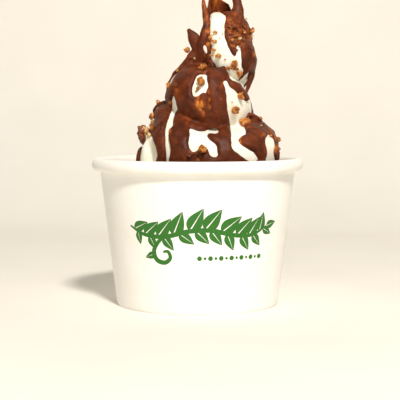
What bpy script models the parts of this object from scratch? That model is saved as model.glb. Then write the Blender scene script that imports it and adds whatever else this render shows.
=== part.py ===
"""A paper cup of soft-serve frozen yogurt under a chocolate coat that has set hard.

Frame: metres, +Z up. The origin is the middle of the ring that the cup stands on. -Y is the cup's front.
The cup is two pieces of coated board: a side wall with a rolled rim, and a bottom held in its folded foot.
The yogurt is one solid: it fills the cup and then rises as a coil that leans towards +X.
The chocolate is a shell round that coil, with windows where it ran apart and left the yogurt bare.
"""

import math

import bmesh
import bpy
import numpy as np

MM = 0.001

# Cup, in mm
RIM_RADIUS = 48.0
CUP_HEIGHT = 66.4
ROLL_HEIGHT = 5.6
ROLL_WIDTH = 4.2
NECK_RADIUS = 44.25  # outside of the wall, just under the rolled rim
BASE_RADIUS = 36.85  # outside of the wall, at the foot
BOARD = 0.5
FLANGE = 0.4  # thickness of the bottom's turned-down edge
FOLD_HEIGHT = 5.2  # the wall's foot turned up inside, round that edge
FLANGE_LOW = 0.9
DISC_LOW = 5.6
SEGMENTS = 48
ROLL_STEPS = 11
ROLL_START = -67.5  # degrees round the roll, where the wall meets its underside
CLEARANCE = 0.3  # between pieces that touch

# Yogurt, in mm
PLUG_TOP = 44.0
ROPE_SIDES = 18
STEPS_PER_TURN = 24
# The coil winds clockwise seen from above. At a whole turn it is at the front, and a quarter turn on it is
# at the left. Each station: turn, sideways place of the coil's middle, coil radius, rope radius, height.
STATIONS = (
    (-1.50, 0.0, 31.0, 10.5, 34.5),
    (-1.25, 0.0, 31.0, 11.0, 35.5),
    (-1.00, 0.0, 31.0, 11.0, 37.0),
    (-0.75, 0.0, 30.5, 11.0, 39.0),
    (-0.50, 1.0, 30.0, 11.5, 41.5),
    (-0.25, 1.5, 29.5, 12.0, 44.5),
    (0.00, 2.0, 27.0, 12.0, 48.0),
    (0.25, 3.0, 24.0, 12.2, 56.0),
    (0.50, 3.5, 22.0, 12.5, 62.0),
    (0.75, 4.0, 20.6, 12.6, 69.3),
    (1.00, 4.0, 18.5, 12.5, 66.8),
    (1.25, 4.5, 17.0, 12.4, 78.0),
    (1.50, 5.0, 12.5, 12.0, 83.5),
    (1.75, 5.2, 6.8, 12.9, 88.6),
    (2.00, 4.0, 8.0, 14.0, 92.6),
    (2.25, 5.5, 6.3, 11.3, 97.5),
    (2.50, 9.0, 4.0, 11.0, 103.0),
    (2.75, 11.7, 3.5, 10.5, 109.5),
    (3.00, 13.6, 2.6, 10.7, 113.3),
    (3.25, 14.8, 1.8, 11.2, 117.0),
    (3.50, 14.0, 1.5, 10.0, 121.0),
    (3.75, 12.0, 1.0, 7.5, 126.2),
    (4.00, 10.5, 1.0, 5.4, 131.0),
    (4.15, 9.5, 0.5, 3.1, 135.5),
    (4.25, 9.0, 0.0, 1.4, 139.0),
)
VOXEL = 2.2
YOGURT_FACES = 2300

# Chocolate, in mm
COAT = 1.6
COAT_FACES = 1700
# The coat's lower edge: its mean height, and how far its drips run above and below that.
HEM_HEIGHT = 56.0
HEM_DRIP = 2.5
HEM_DRIPS = 9
HEM_RADIUS = 36.0
# Where the coat ran apart: outlines of (x, z) points, cut straight back from the front, then from the back.
FRONT_WINDOWS = (
    ((-26.5, 40), (-25.5, 71), (-22.8, 79), (-19.8, 74.5), (-17.2, 70.5), (-18, 40)),
    ((-14.6, 40), (-14.2, 77), (-13, 83), (-11, 88), (-10.3, 94.5), (-8.8, 89), (-10.8, 82), (-12.4, 77),
     (-11.4, 71.5), (-12.8, 40)),
    ((-3.6, 80), (0, 78.9), (9, 79.2), (9, 77.3), (4.6, 77.6), (5, 75.5), (8.3, 74), (9, 68), (5.4, 67.4),
     (4.5, 71), (-1.5, 69.5), (-4, 74.5)),
    ((-2.2, 95), (-1.8, 99), (0.5, 104), (3, 104.5), (4.3, 100), (4.6, 95)),
    ((12.6, 100), (12.4, 93), (13.5, 85), (14.8, 73.5), (17, 74), (18, 76), (21.3, 77.5), (20.5, 81),
     (23.5, 88), (22, 91.5), (17.5, 95.5)),
    ((13, 105.7), (15, 101), (18.5, 100.8), (22.3, 98), (22.5, 104.5), (17.5, 104)),
    ((15.2, 72), (15.8, 69.8), (24, 64.5), (26.5, 66), (20, 71), (16.5, 72.4)),
    ((29.4, 40), (29.6, 72), (30.5, 76.5), (32.5, 77), (34, 72), (33.8, 40)),
    ((4.8, 130.5), (8.5, 131.8), (12.5, 129.8), (12, 122), (13.3, 117), (16.3, 111.5), (17.4, 117.5),
     (19.2, 116), (19.5, 106), (14, 108), (8.2, 106.2), (6, 109.5), (7, 114), (5.8, 122)),
)
BACK_WINDOWS = (
    ((-20, 40), (-21, 66), (-16, 77), (-12, 73), (-13, 62), (-12, 40)),
    ((-2, 68), (3, 74), (11, 72.5), (12, 66), (5, 63)),
    ((20, 40), (18.5, 68), (22, 79), (27, 73), (26, 40)),
    ((-7, 88), (-8, 98), (-2, 103), (1, 96), (-2, 88)),
    ((9, 84), (7, 94), (13, 99), (17, 92), (15, 84)),
    ((10, 108), (9, 118), (13, 126), (17, 119), (15, 109)),
)
# Peaks where the chocolate set as it ran off. Each: points of its middle, and its radius at each point.
PEAKS = (
    (((4.5, -4, 112), (4.0, -4, 119), (3.8, -3.5, 126), (2.9, -3, 132), (2.3, -3, 138)),
     (2.6, 2.3, 1.7, 1.1, 0.35)),
    (((16.0, -1, 124), (17.3, -1, 130), (17.9, -1, 136), (18.3, -1, 141.5)),
     (3.6, 2.9, 1.9, 0.4)),
    (((3.5, -3, 110), (1.0, -3, 114.5), (-0.8, -3, 119), (-2.6, -3, 122), (-4.3, -3, 124.8)),
     (4.2, 3.8, 2.9, 1.5, 0.35)),
    (((-7.2, -3, 104.5), (-4.6, -4, 107.8), (-2.6, -4.5, 110.2), (-1.4, -4.5, 112.6), (2.0, -4.5, 114.5)),
     (2.2, 2.6, 2.5, 2.4, 2.2)),
)


def material(name, colour, roughness):
    """A Principled material of one colour, given as linear red, green and blue."""
    made = bpy.data.materials.new(name)
    made.use_nodes = True
    shader = made.node_tree.nodes["Principled BSDF"]
    shader.inputs["Base Color"].default_value = (*colour, 1)
    shader.inputs["Roughness"].default_value = roughness
    made.diffuse_color = (*colour, 1)
    return made


def add_object(name, mesh, finish=None):
    made = bpy.data.objects.new(name, mesh)
    bpy.context.scene.collection.objects.link(made)
    if finish:
        mesh.materials.clear()
        mesh.materials.append(finish)
    return made


def baked(obj):
    """The object's mesh with its modifiers applied; the object is then removed."""
    graph = bpy.context.evaluated_depsgraph_get()
    mesh = bpy.data.meshes.new_from_object(obj.evaluated_get(graph))
    bpy.data.objects.remove(obj)
    return mesh


def mesh_of(shape, name):
    bmesh.ops.recalc_face_normals(shape, faces=shape.faces)
    mesh = bpy.data.meshes.new(name)
    shape.to_mesh(mesh)
    shape.free()
    return mesh


def turned(name, profile):
    """A lathe shape. The profile is (radius, height) points in mm: a loop, or a line from axis to axis."""
    shape = bmesh.new()
    rings = []
    for radius, height in profile:
        count = SEGMENTS if radius else 1
        ring = []
        for k in range(count):
            angle = 2 * math.pi * k / SEGMENTS
            place = (radius * math.cos(angle) * MM, radius * math.sin(angle) * MM, height * MM)
            ring.append(shape.verts.new(place))
        rings.append(ring)
    ends = [] if len(rings[0]) == 1 else [(rings[-1], rings[0])]
    for low, high in list(zip(rings, rings[1:])) + ends:
        for k in range(SEGMENTS):
            j = (k + 1) % SEGMENTS
            corners = [low[k % len(low)], low[j % len(low)], high[j % len(high)], high[k % len(high)]]
            shape.faces.new(list(dict.fromkeys(corners)))
    return mesh_of(shape, name)


def tube(name, centres, radii, sides=ROPE_SIDES):
    """A closed round bar through the centres, in mm, ending in a point at each end."""
    centres = np.array(centres, float)
    along = np.gradient(centres, axis=0)
    shape = bmesh.new()
    rings = []
    for centre, way, radius in zip(centres, along, radii):
        way = way / np.linalg.norm(way)
        side = np.cross(way, (0, 0, 1) if abs(way[2]) < 0.95 else (0, 1, 0))
        side /= np.linalg.norm(side)
        up = np.cross(side, way)
        ring = []
        for k in range(sides):
            angle = 2 * math.pi * k / sides
            place = centre + radius * (math.cos(angle) * side + math.sin(angle) * up)
            ring.append(shape.verts.new(place * MM))
        rings.append(ring)
    for low, high in zip(rings, rings[1:]):
        for k in range(sides):
            j = (k + 1) % sides
            shape.faces.new([low[k], low[j], high[j], high[k]])
    for end, sign in ((0, -1), (-1, 1)):
        way = along[end] / np.linalg.norm(along[end])
        tip = shape.verts.new((centres[end] + sign * 0.8 * radii[end] * way) * MM)
        for k in range(sides):
            shape.faces.new([rings[end][k], rings[end][(k + 1) % sides], tip])
    return mesh_of(shape, name)


def smooth_through(at, places, values):
    """Values at each place on a smooth curve through the given ones."""
    slopes = np.gradient(values, places)
    k = np.clip(np.searchsorted(places, at, side="right") - 1, 0, len(places) - 2)
    span = places[k + 1] - places[k]
    t = (at - places[k]) / span
    start = (1 + 2 * t) * (1 - t) ** 2 * values[k] + t * (1 - t) ** 2 * span * slopes[k]
    return start + t * t * (3 - 2 * t) * values[k + 1] + t * t * (t - 1) * span * slopes[k + 1]


def track(extra):
    """The coil's centres and radii in mm, sampled evenly along the turns."""
    stations = np.array(STATIONS)
    places = stations[:, 0]
    turns = np.linspace(places[0], places[-1], int(STEPS_PER_TURN * (places[-1] - places[0])))
    middle, coil, rope, height = (smooth_through(turns, places, stations[:, k]) for k in range(1, 5))
    angle = np.radians(-90 - 360 * turns)
    centres = np.stack([middle + coil * np.cos(angle), coil * np.sin(angle), height], axis=1)
    return centres, rope + extra


def joined(name, meshes):
    shape = bmesh.new()
    for mesh in meshes:
        shape.from_mesh(mesh)
    mesh = bpy.data.meshes.new(name)
    shape.to_mesh(mesh)
    shape.free()
    return mesh


def inner_radius(height):
    """Inside of the cup's wall at a height, in mm."""
    return BASE_RADIUS + (NECK_RADIUS - BASE_RADIUS) * height / (CUP_HEIGHT - ROLL_HEIGHT) - BOARD


def coil_mesh(name, extra, faces):
    """The coil with its core as one skin, kept off the cup's wall. The rope is thicker by extra mm."""
    centres, radii = track(extra)
    core = [(0.5, 0, 30), (2, 0, 50), (4, 0, 70), (5, 0, 82), (6, 0, 95), (10, 0, 105), (12, 0, 115)]
    parts = [tube("rope", centres, radii), tube("core", core, [22, 22, 17, 10, 6, 4, 2])]
    obj = add_object("skin", joined("skin", parts))
    remesh = obj.modifiers.new("skin", "REMESH")
    remesh.mode = "VOXEL"
    remesh.voxel_size = VOXEL * MM
    smooth = obj.modifiers.new("smooth", "SMOOTH")
    smooth.factor = 0.5
    smooth.iterations = 2
    mesh = baked(obj)
    mesh.name = name
    for vertex in mesh.vertices:
        x, y, z = vertex.co / MM
        limit = inner_radius(z) - 2 * CLEARANCE
        across = math.hypot(x, y)
        if z < CUP_HEIGHT + 4 and across > limit:
            vertex.co.x *= limit / across
            vertex.co.y *= limit / across
    obj = add_object("thinned", mesh)
    thin = obj.modifiers.new("thin", "DECIMATE")
    thin.ratio = faces / (2 * len(mesh.polygons))
    thin.use_collapse_triangulate = True
    return baked(obj)


def swollen(mesh, by):
    """A copy of the mesh pushed out along its normals, by this many mm."""
    made = mesh.copy()
    for vertex, source in zip(made.vertices, mesh.vertices):
        vertex.co = source.co + source.normal * by * MM
    return made


def prism(outline, side):
    """A cutter with this outline of (x, z) points in mm, from the middle out to side: -1 front, 1 back."""
    shape = bmesh.new()
    near = [shape.verts.new((x * MM, side * 1.0 * MM, z * MM)) for x, z in outline]
    far = [shape.verts.new((x * MM, side * 70.0 * MM, z * MM)) for x, z in outline]
    shape.faces.new(near)
    shape.faces.new(far)
    for k in range(len(outline)):
        j = (k + 1) % len(outline)
        shape.faces.new([near[k], near[j], far[j], far[k]])
    return mesh_of(shape, "prism")


def hem():
    """A cutter for everything below the coat's lower edge, which runs in drips round the coil."""
    steps = HEM_DRIPS * 6
    reach = 60.0
    shape = bmesh.new()
    low_middle = shape.verts.new((0, 0, 5 * MM))
    high_middle = shape.verts.new((0, 0, HEM_HEIGHT * MM))
    low, high = [], []
    for k in range(steps):
        turn = 2 * math.pi * k / steps
        x, y = reach * math.cos(turn), reach * math.sin(turn)
        top = HEM_HEIGHT + reach / HEM_RADIUS * (HEM_DRIP * math.cos(HEM_DRIPS * turn) + math.sin(2 * turn))
        low.append(shape.verts.new((x * MM, y * MM, 5 * MM)))
        high.append(shape.verts.new((x * MM, y * MM, top * MM)))
    for k in range(steps):
        j = (k + 1) % steps
        shape.faces.new([low_middle, low[j], low[k]])
        shape.faces.new([low[k], low[j], high[j], high[k]])
        shape.faces.new([high_middle, high[k], high[j]])
    return mesh_of(shape, "hem")


def helper(name, mesh):
    """A shape that is only there for a Boolean."""
    made = add_object(name, mesh)
    made.hide_render = True
    made.display_type = "WIRE"
    return made


def combine(target, other, operation):
    step = target.modifiers.new(other.name, "BOOLEAN")
    step.operation = operation
    step.solver = "EXACT"
    step.object = other


def main():
    for obj in list(bpy.data.objects):
        bpy.data.objects.remove(obj)
    paper = material("coated_board", (0.87, 0.86, 0.83), 0.4)
    yogurt_finish = material("frozen_yogurt", (0.9, 0.82, 0.68), 0.45)
    chocolate = material("set_chocolate", (0.115, 0.035, 0.014), 0.3)

    # Side wall: up the outside, round the roll, down the inside, and round the folded foot.
    foot = BASE_RADIUS
    fold_out = foot - BOARD - CLEARANCE - FLANGE - CLEARANCE
    slope = (NECK_RADIUS - BASE_RADIUS) / (CUP_HEIGHT - ROLL_HEIGHT)
    fold_top = fold_out + slope * (FOLD_HEIGHT - BOARD)
    roll_low = CUP_HEIGHT - ROLL_HEIGHT
    half_wide, half_high = ROLL_WIDTH / 2, ROLL_HEIGHT / 2
    wall = [(foot, 0), (NECK_RADIUS, roll_low)]
    for k in range(ROLL_STEPS + 1):
        turn = math.radians(ROLL_START + (180 - ROLL_START) * k / ROLL_STEPS)
        across, up = half_wide * math.cos(turn), half_high * math.sin(turn)
        wall.append((RIM_RADIUS - half_wide + across, CUP_HEIGHT - half_high + up))
    wall += [(inner_radius(roll_low), roll_low), (inner_radius(BOARD), BOARD), (fold_out, BOARD)]
    wall += [(fold_top, FOLD_HEIGHT), (fold_top - BOARD, FOLD_HEIGHT), (fold_out - BOARD, 0)]
    add_object("cup_wall", turned("cup_wall", wall), paper)

    # Bottom: a disc whose edge turns down between the wall and the fold.
    edge = inner_radius(FLANGE_LOW) - CLEARANCE
    top = DISC_LOW + BOARD
    bottom = [(0, DISC_LOW), (edge - FLANGE + slope * (DISC_LOW - FLANGE_LOW), DISC_LOW)]
    bottom += [(edge - FLANGE, FLANGE_LOW), (edge, FLANGE_LOW)]
    bottom += [(edge + slope * (top - FLANGE_LOW), top), (0, top)]
    add_object("cup_bottom", turned("cup_bottom", bottom), paper)

    # Yogurt: a plug that fills the cup, joined to the coil that stands on it.
    plug_low = top + CLEARANCE
    plug = [(0, plug_low), (inner_radius(plug_low) - CLEARANCE, plug_low)]
    plug += [(inner_radius(PLUG_TOP) - CLEARANCE, PLUG_TOP), (0, PLUG_TOP + 3)]
    coil = coil_mesh("coil", 0.0, YOGURT_FACES)
    yogurt = add_object("frozen_yogurt", turned("plug", plug), yogurt_finish)
    combine(yogurt, helper("coil", coil), "UNION")

    # Chocolate: a thicker coil, less the yogurt with its clearance, less the windows and all below the hem.
    coat = add_object("chocolate_coat", coil_mesh("coat", COAT, COAT_FACES), chocolate)
    for k, (points, radii) in enumerate(PEAKS):
        combine(coat, helper(f"peak_{k}", tube("peak", points, radii, 8)), "UNION")
    combine(coat, helper("coil_clearance", swollen(coil, CLEARANCE)), "DIFFERENCE")
    combine(coat, helper("below_hem", hem()), "DIFFERENCE")
    for side, outlines in ((-1, FRONT_WINDOWS), (1, BACK_WINDOWS)):
        cutters = joined("windows", [prism(outline, side) for outline in outlines])
        combine(coat, helper("front_windows" if side < 0 else "back_windows", cutters), "DIFFERENCE")


if __name__ == "__main__":
    main()
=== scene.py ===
# %% [markdown]
# # Soft-serve frozen yogurt in a paper cup
# The finished cup has five kinds of thing in it: coated board, frozen yogurt, chocolate that has set hard,
# chopped caramelised nuts, and one printed ornament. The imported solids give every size, and each piece here
# is a finer version of one of them, in metres, with its place in its mesh.

# %% Load the frame
import math
import bmesh
import bpy
import numpy as np
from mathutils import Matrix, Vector
from mathutils.bvhtree import BVHTree


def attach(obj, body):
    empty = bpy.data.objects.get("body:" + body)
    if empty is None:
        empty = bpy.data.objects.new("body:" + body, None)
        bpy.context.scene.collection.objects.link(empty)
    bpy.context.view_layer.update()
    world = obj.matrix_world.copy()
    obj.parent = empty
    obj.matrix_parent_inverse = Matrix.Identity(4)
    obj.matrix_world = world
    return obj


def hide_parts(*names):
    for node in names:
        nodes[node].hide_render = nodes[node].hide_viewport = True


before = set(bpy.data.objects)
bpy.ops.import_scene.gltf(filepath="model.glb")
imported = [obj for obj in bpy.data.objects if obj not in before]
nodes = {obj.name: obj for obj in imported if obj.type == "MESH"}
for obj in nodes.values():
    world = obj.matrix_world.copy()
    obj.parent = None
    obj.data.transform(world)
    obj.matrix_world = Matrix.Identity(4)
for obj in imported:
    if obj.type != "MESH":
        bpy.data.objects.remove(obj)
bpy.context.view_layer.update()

MM = 0.001


# %% [markdown]
# Three helpers serve the whole file. Colours are written as sRGB hex codes, because that is how a colour
# picker shows them, and shaders want them linear. Nodes are added by one function, which sets a node's
# values and links in the same breath. Meshes come from point arrays.

# %% Colour and node helpers
def linear(code):
    """An sRGB hex colour as linear red, green, blue and alpha."""
    parts = [int(code[k:k + 2], 16) / 255 for k in (1, 3, 5)]
    return (*[p / 12.92 if p <= 0.04045 else ((p + 0.055) / 1.055) ** 2.4 for p in parts], 1.0)


def add(tree, kind, inputs=None, **settings):
    """Adds a node, sets its properties, and gives each input a value or a link."""
    made = tree.nodes.new(kind)
    for name, value in settings.items():
        setattr(made, name, value)
    for name, value in (inputs or {}).items():
        if isinstance(value, bpy.types.NodeSocket):
            tree.links.new(value, made.inputs[name])
        else:
            made.inputs[name].default_value = value
    return made


def new_material(name):
    """An empty Principled material: the material, its tree, its shader."""
    made = bpy.data.materials.new(name)
    made.use_nodes = True
    tree = made.node_tree
    return made, tree, tree.nodes["Principled BSDF"]


# %% Mesh helpers
def put(name, mesh, finish=None):
    made = bpy.data.objects.new(name, mesh)
    bpy.context.scene.collection.objects.link(made)
    if finish:
        mesh.materials.clear()
        mesh.materials.append(finish)
    return made


def mesh_from(points, faces, name="mesh"):
    """A mesh from points in mm, with its normals turned outwards."""
    mesh = bpy.data.meshes.new(name)
    mesh.from_pydata((np.asarray(points) * MM).tolist(), [], [list(map(int, f)) for f in faces])
    shape = bmesh.new()
    shape.from_mesh(mesh)
    bmesh.ops.recalc_face_normals(shape, faces=shape.faces)
    shape.to_mesh(mesh)
    shape.free()
    return mesh


def joined(meshes):
    shape = bmesh.new()
    for mesh in meshes:
        shape.from_mesh(mesh)
    made = bpy.data.meshes.new("joined")
    shape.to_mesh(made)
    shape.free()
    return made


def baked(obj):
    """The object's mesh with its modifiers applied. The object goes."""
    graph = bpy.context.evaluated_depsgraph_get()
    mesh = bpy.data.meshes.new_from_object(obj.evaluated_get(graph))
    bpy.data.objects.remove(obj)
    return mesh


def skinned(mesh, voxel, smoothing=0):
    """One closed skin round everything in the mesh, on a grid of this many mm."""
    obj = put("skin", mesh)
    remesh = obj.modifiers.new("skin", "REMESH")
    remesh.mode = "VOXEL"
    remesh.voxel_size = voxel * MM
    if smoothing:
        smooth = obj.modifiers.new("smooth", "SMOOTH")
        smooth.factor = 0.5
        smooth.iterations = smoothing
    return baked(obj)


def points_of(mesh):
    """The mesh's vertices in mm."""
    flat = np.empty(len(mesh.vertices) * 3, np.float32)
    mesh.vertices.foreach_get("co", flat)
    return flat.reshape(-1, 3).astype(float) / MM


def normals_of(mesh):
    flat = np.empty(len(mesh.vertices) * 3, np.float32)
    mesh.vertex_normals.foreach_get("vector", flat)
    return flat.reshape(-1, 3).astype(float)


def move_to(mesh, points):
    mesh.vertices.foreach_set("co", (points * MM).astype(np.float32).ravel())
    mesh.update()


def give(mesh, name, values):
    """Stores one number for each vertex."""
    mesh.attributes.new(name, "FLOAT", "POINT").data.foreach_set("value", values.astype(np.float32))


def smooth_shaded(mesh):
    mesh.polygons.foreach_set("use_smooth", [True] * len(mesh.polygons))


def wobble(points, scale, seed):
    """Soft noise between about -1 and 1 at each point, with waves this many mm long."""
    rng = np.random.default_rng(seed)
    total = np.zeros(len(points))
    for _ in range(7):
        way = rng.normal(size=3)
        way *= rng.uniform(0.7, 1.5) / np.linalg.norm(way)
        total += np.sin(points @ way * 2 * np.pi / scale + rng.uniform(0, 2 * np.pi))
    return total / 3.2


# %% [markdown]
# ## Materials
# Patterns are read from object coordinates, so their scales are real ones: a wave of 2 mm is a noise scale
# of 500 to the metre. Two small builders make what every food material here needs, which is a noise and a
# ramp of colours.

# %% Patterns shared by the materials
def noise(tree, size_mm, detail=3.0, roughness=0.5, distortion=0.0):
    """Noise with waves of about this size in mm. Returns its value output."""
    where = tree.nodes.get("Texture Coordinate") or add(tree, "ShaderNodeTexCoord")
    made = add(tree, "ShaderNodeTexNoise", {
        "Vector": where.outputs["Object"], "Scale": 1000 / size_mm, "Detail": detail,
        "Roughness": roughness, "Distortion": distortion})
    return made.outputs["Fac"]


def ramp(tree, value, *stops):
    """A colour ramp. Each stop is (place, hex colour)."""
    made = add(tree, "ShaderNodeValToRGB", {"Fac": value})
    points = made.color_ramp.elements
    while len(points) < len(stops):
        points.new(0.5)
    for point, (place, code) in zip(points, stops):
        point.position = place
    for point, (place, code) in zip(points, stops):
        point.color = linear(code)
    return made.outputs["Color"]


def spread(tree, value, low, high, to_low=0.0, to_high=1.0):
    """The value stretched from one range to another, and held inside it."""
    return add(tree, "ShaderNodeMapRange", {
        "Value": value, "From Min": low, "From Max": high, "To Min": to_low, "To Max": to_high}).outputs["Result"]


def blended(tree, share, a, b, mode="MIX"):
    made = add(tree, "ShaderNodeMix", data_type="RGBA", blend_type=mode)
    for socket, value in ((made.inputs[0], share), (made.inputs[6], a), (made.inputs[7], b)):
        if isinstance(value, bpy.types.NodeSocket):
            tree.links.new(value, socket)
        else:
            socket.default_value = linear(value) if isinstance(value, str) else value
    return made.outputs[2]


def stored(tree, name):
    return add(tree, "ShaderNodeAttribute", attribute_name=name).outputs["Fac"]


def bumped(tree, shader, *layers):
    """Bumps on top of each other. Each layer is (height, how deep in mm, strength)."""
    normal = None
    for height, depth_mm, strength in layers:
        made = add(tree, "ShaderNodeBump", {"Height": height, "Distance": depth_mm * MM, "Strength": strength})
        if normal:
            tree.links.new(normal, made.inputs["Normal"])
        normal = made.outputs["Normal"]
    tree.links.new(normal, shader.inputs["Normal"])


# %% Frozen yogurt: dense, matt and slightly see-through
def frozen_yogurt():
    """Milky white. Light goes a few mm in, and tiny ice crystals and air bubbles grain the surface."""
    made, tree, shader = new_material("frozen_yogurt")
    patches = noise(tree, 9, detail=2)
    grain = noise(tree, 0.7, detail=4, roughness=0.6)
    ripple = noise(tree, 4.0, detail=3)
    tree.links.new(ramp(tree, patches, (0.3, "#f7ecd6"), (0.7, "#fdf8ec")), shader.inputs["Base Color"])
    tree.links.new(spread(tree, grain, 0.3, 0.7, 0.38, 0.52), shader.inputs["Roughness"])
    shader.inputs["Subsurface Weight"].default_value = 0.55
    shader.inputs["Subsurface Radius"].default_value = (1.0, 0.72, 0.42)
    shader.inputs["Subsurface Scale"].default_value = 0.0022
    shader.inputs["IOR"].default_value = 1.36
    bumped(tree, shader, (ripple, 0.35, 0.35), (grain, 0.10, 0.35))
    return made


# %% Set chocolate: brown where thick, amber where thin, and amber painted highlights
def set_chocolate():
    """A snap coat of chocolate and coconut oil. Where the mesh's stored value for thin chocolate nears 1, the colour
    turns amber, as light through thin chocolate does; the same value also paints highlights on the right lobe's rounded
    edge and the lit side of the curl.
    """
    made, tree, shader = new_material("set_chocolate")
    patches = noise(tree, 7.0, detail=4, roughness=0.62, distortion=0.4)
    grain = noise(tree, 0.8, detail=3)
    dimples = noise(tree, 2.6, detail=3, roughness=0.55)
    bits = noise(tree, 1.5, detail=4, roughness=0.6)
    thick_colour = ramp(tree, patches, (0.28, "#3d190b"), (0.48, "#572611"), (0.66, "#6c3216"), (0.84, "#7c3d1b"))
    film_and_highlight = add(tree, "ShaderNodeMath", {0: stored(tree, "film_and_highlight"), 1: spread(tree, dimples, 0.3, 0.7, -0.22, 0.22)},
               operation="ADD", use_clamp=True).outputs[0]
    # This amber ramp paints light as well as thin chocolate: painted highlights on the right lobe's rounded edge and
    # the painted lit side of the curl.
    film_and_highlight_colour = ramp(tree, film_and_highlight, (0.15, "#742f10"), (0.5, "#9e4d15"), (0.95, "#c67c2e"))
    crusted = add(tree, "ShaderNodeMath", {0: stored(tree, "crusted"), 1: spread(tree, dimples, 0.3, 0.7, -0.3, 0.3)},
                  operation="ADD", use_clamp=True).outputs[0]
    crust_colour = ramp(tree, bits, (0.32, "#3c1a0c"), (0.47, "#6b3216"), (0.60, "#985022"), (0.76, "#bd7433"))
    coloured = blended(tree, spread(tree, film_and_highlight, 0.15, 0.8), thick_colour, film_and_highlight_colour)
    crust_share = spread(tree, crusted, 0.15, 0.7)
    tree.links.new(blended(tree, crust_share, coloured, crust_colour), shader.inputs["Base Color"])
    tree.links.new(spread(tree, patches, 0.35, 0.65, 0.42, 0.58), shader.inputs["Roughness"])
    shader.inputs["Subsurface Weight"].default_value = 0.10
    shader.inputs["Subsurface Radius"].default_value = (1.0, 0.4, 0.15)
    shader.inputs["Subsurface Scale"].default_value = 0.0012
    shader.inputs["IOR"].default_value = 1.45
    shader.inputs["Specular IOR Level"].default_value = 0.2
    crust_bump = add(tree, "ShaderNodeMath", {0: bits, 1: crust_share}, operation="MULTIPLY").outputs[0]
    bumped(tree, shader, (dimples, 0.5, 0.4), (crust_bump, 0.9, 0.6), (grain, 0.08, 0.35))
    return made


# %% Caramelised nuts, in three roasts
def caramelised_nut(name, dark, middle, light, roughness):
    """Chopped nut under a skin of burnt sugar: clear, sticky, and darker where the sugar is deeper."""
    made, tree, shader = new_material(name)
    patches = noise(tree, 1.6, detail=4, roughness=0.6)
    tree.links.new(ramp(tree, patches, (0.32, dark), (0.5, middle), (0.68, light)), shader.inputs["Base Color"])
    shader.inputs["Roughness"].default_value = roughness
    shader.inputs["Subsurface Weight"].default_value = 0.3
    shader.inputs["Subsurface Radius"].default_value = (1.0, 0.45, 0.15)
    shader.inputs["Subsurface Scale"].default_value = 0.0010
    shader.inputs["Coat Weight"].default_value = 0.25
    shader.inputs["Coat Roughness"].default_value = 0.22
    bumped(tree, shader, (noise(tree, 0.8, detail=4), 0.22, 0.5))
    return made


# %% Coated board: the cup
def coated_board():
    """White cup board under a thin film of plastic. The fibres show as a faint flow up the wall."""
    made, tree, shader = new_material("coated_board")
    where = add(tree, "ShaderNodeTexCoord")
    long_ways = add(tree, "ShaderNodeMapping", {"Vector": where.outputs["Object"], "Scale": (1.0, 1.0, 0.35)})
    fibres = add(tree, "ShaderNodeTexNoise", {
        "Vector": long_ways.outputs["Vector"], "Scale": 1400.0, "Detail": 4.0, "Roughness": 0.65})
    cloud = noise(tree, 14, detail=3)
    tree.links.new(ramp(tree, cloud, (0.35, "#f7f4ec"), (0.65, "#fbf9f4")), shader.inputs["Base Color"])
    tree.links.new(spread(tree, fibres.outputs["Fac"], 0.3, 0.7, 0.40, 0.50), shader.inputs["Roughness"])
    shader.inputs["IOR"].default_value = 1.5
    shader.inputs["Subsurface Weight"].default_value = 0.10
    shader.inputs["Subsurface Radius"].default_value = (1.0, 0.9, 0.75)
    shader.inputs["Subsurface Scale"].default_value = 0.0006
    bumped(tree, shader, (cloud, 0.10, 0.25), (fibres.outputs["Fac"], 0.02, 0.35))
    return made


# %% Printing ink
def green_ink():
    """One solid green, printed flat on the board: even, with the grain of the board just showing."""
    made, tree, shader = new_material("green_ink")
    tree.links.new(ramp(tree, noise(tree, 0.5, detail=3), (0.3, "#216610"), (0.7, "#2a7218")),
                   shader.inputs["Base Color"])
    shader.inputs["Roughness"].default_value = 0.42
    bumped(tree, shader, (noise(tree, 0.35, detail=2), 0.01, 0.3))
    return made


YOGURT = frozen_yogurt()
CHOCOLATE = set_chocolate()
NUT_AMBER = caramelised_nut("caramelised_nut_amber", "#7d400f", "#b0681a", "#d99a44", 0.36)
NUT_DARK = caramelised_nut("caramelised_nut_dark", "#50220f", "#7c3b1a", "#a65a28", 0.34)
NUT_PALE = caramelised_nut("caramelised_nut_pale", "#b98a52", "#d6ab72", "#ecd2a4", 0.48)
BOARD_WHITE = coated_board()
INK = green_ink()
print("materials:", len(bpy.data.materials))


# %% [markdown]
# ## Frozen yogurt
# A soft-serve machine lays down one long rope. The cup turns under it, the coil gets narrower, and the
# last pull leaves a peak. So the shape follows a rule: a spiral whose radius, height and thickness change
# from turn to turn. A dozen stations hold those numbers, a smooth curve passes through them, and Geometry
# Nodes sweep a round rope along it.

# %% Cup sizes and the coil's stations
RIM_RADIUS, CUP_HEIGHT, ROLL_HEIGHT, ROLL_WIDTH = 48.0, 66.4, 5.6, 4.2
NECK_RADIUS, BASE_RADIUS, BOARD = 44.25, 36.85, 0.5
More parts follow.
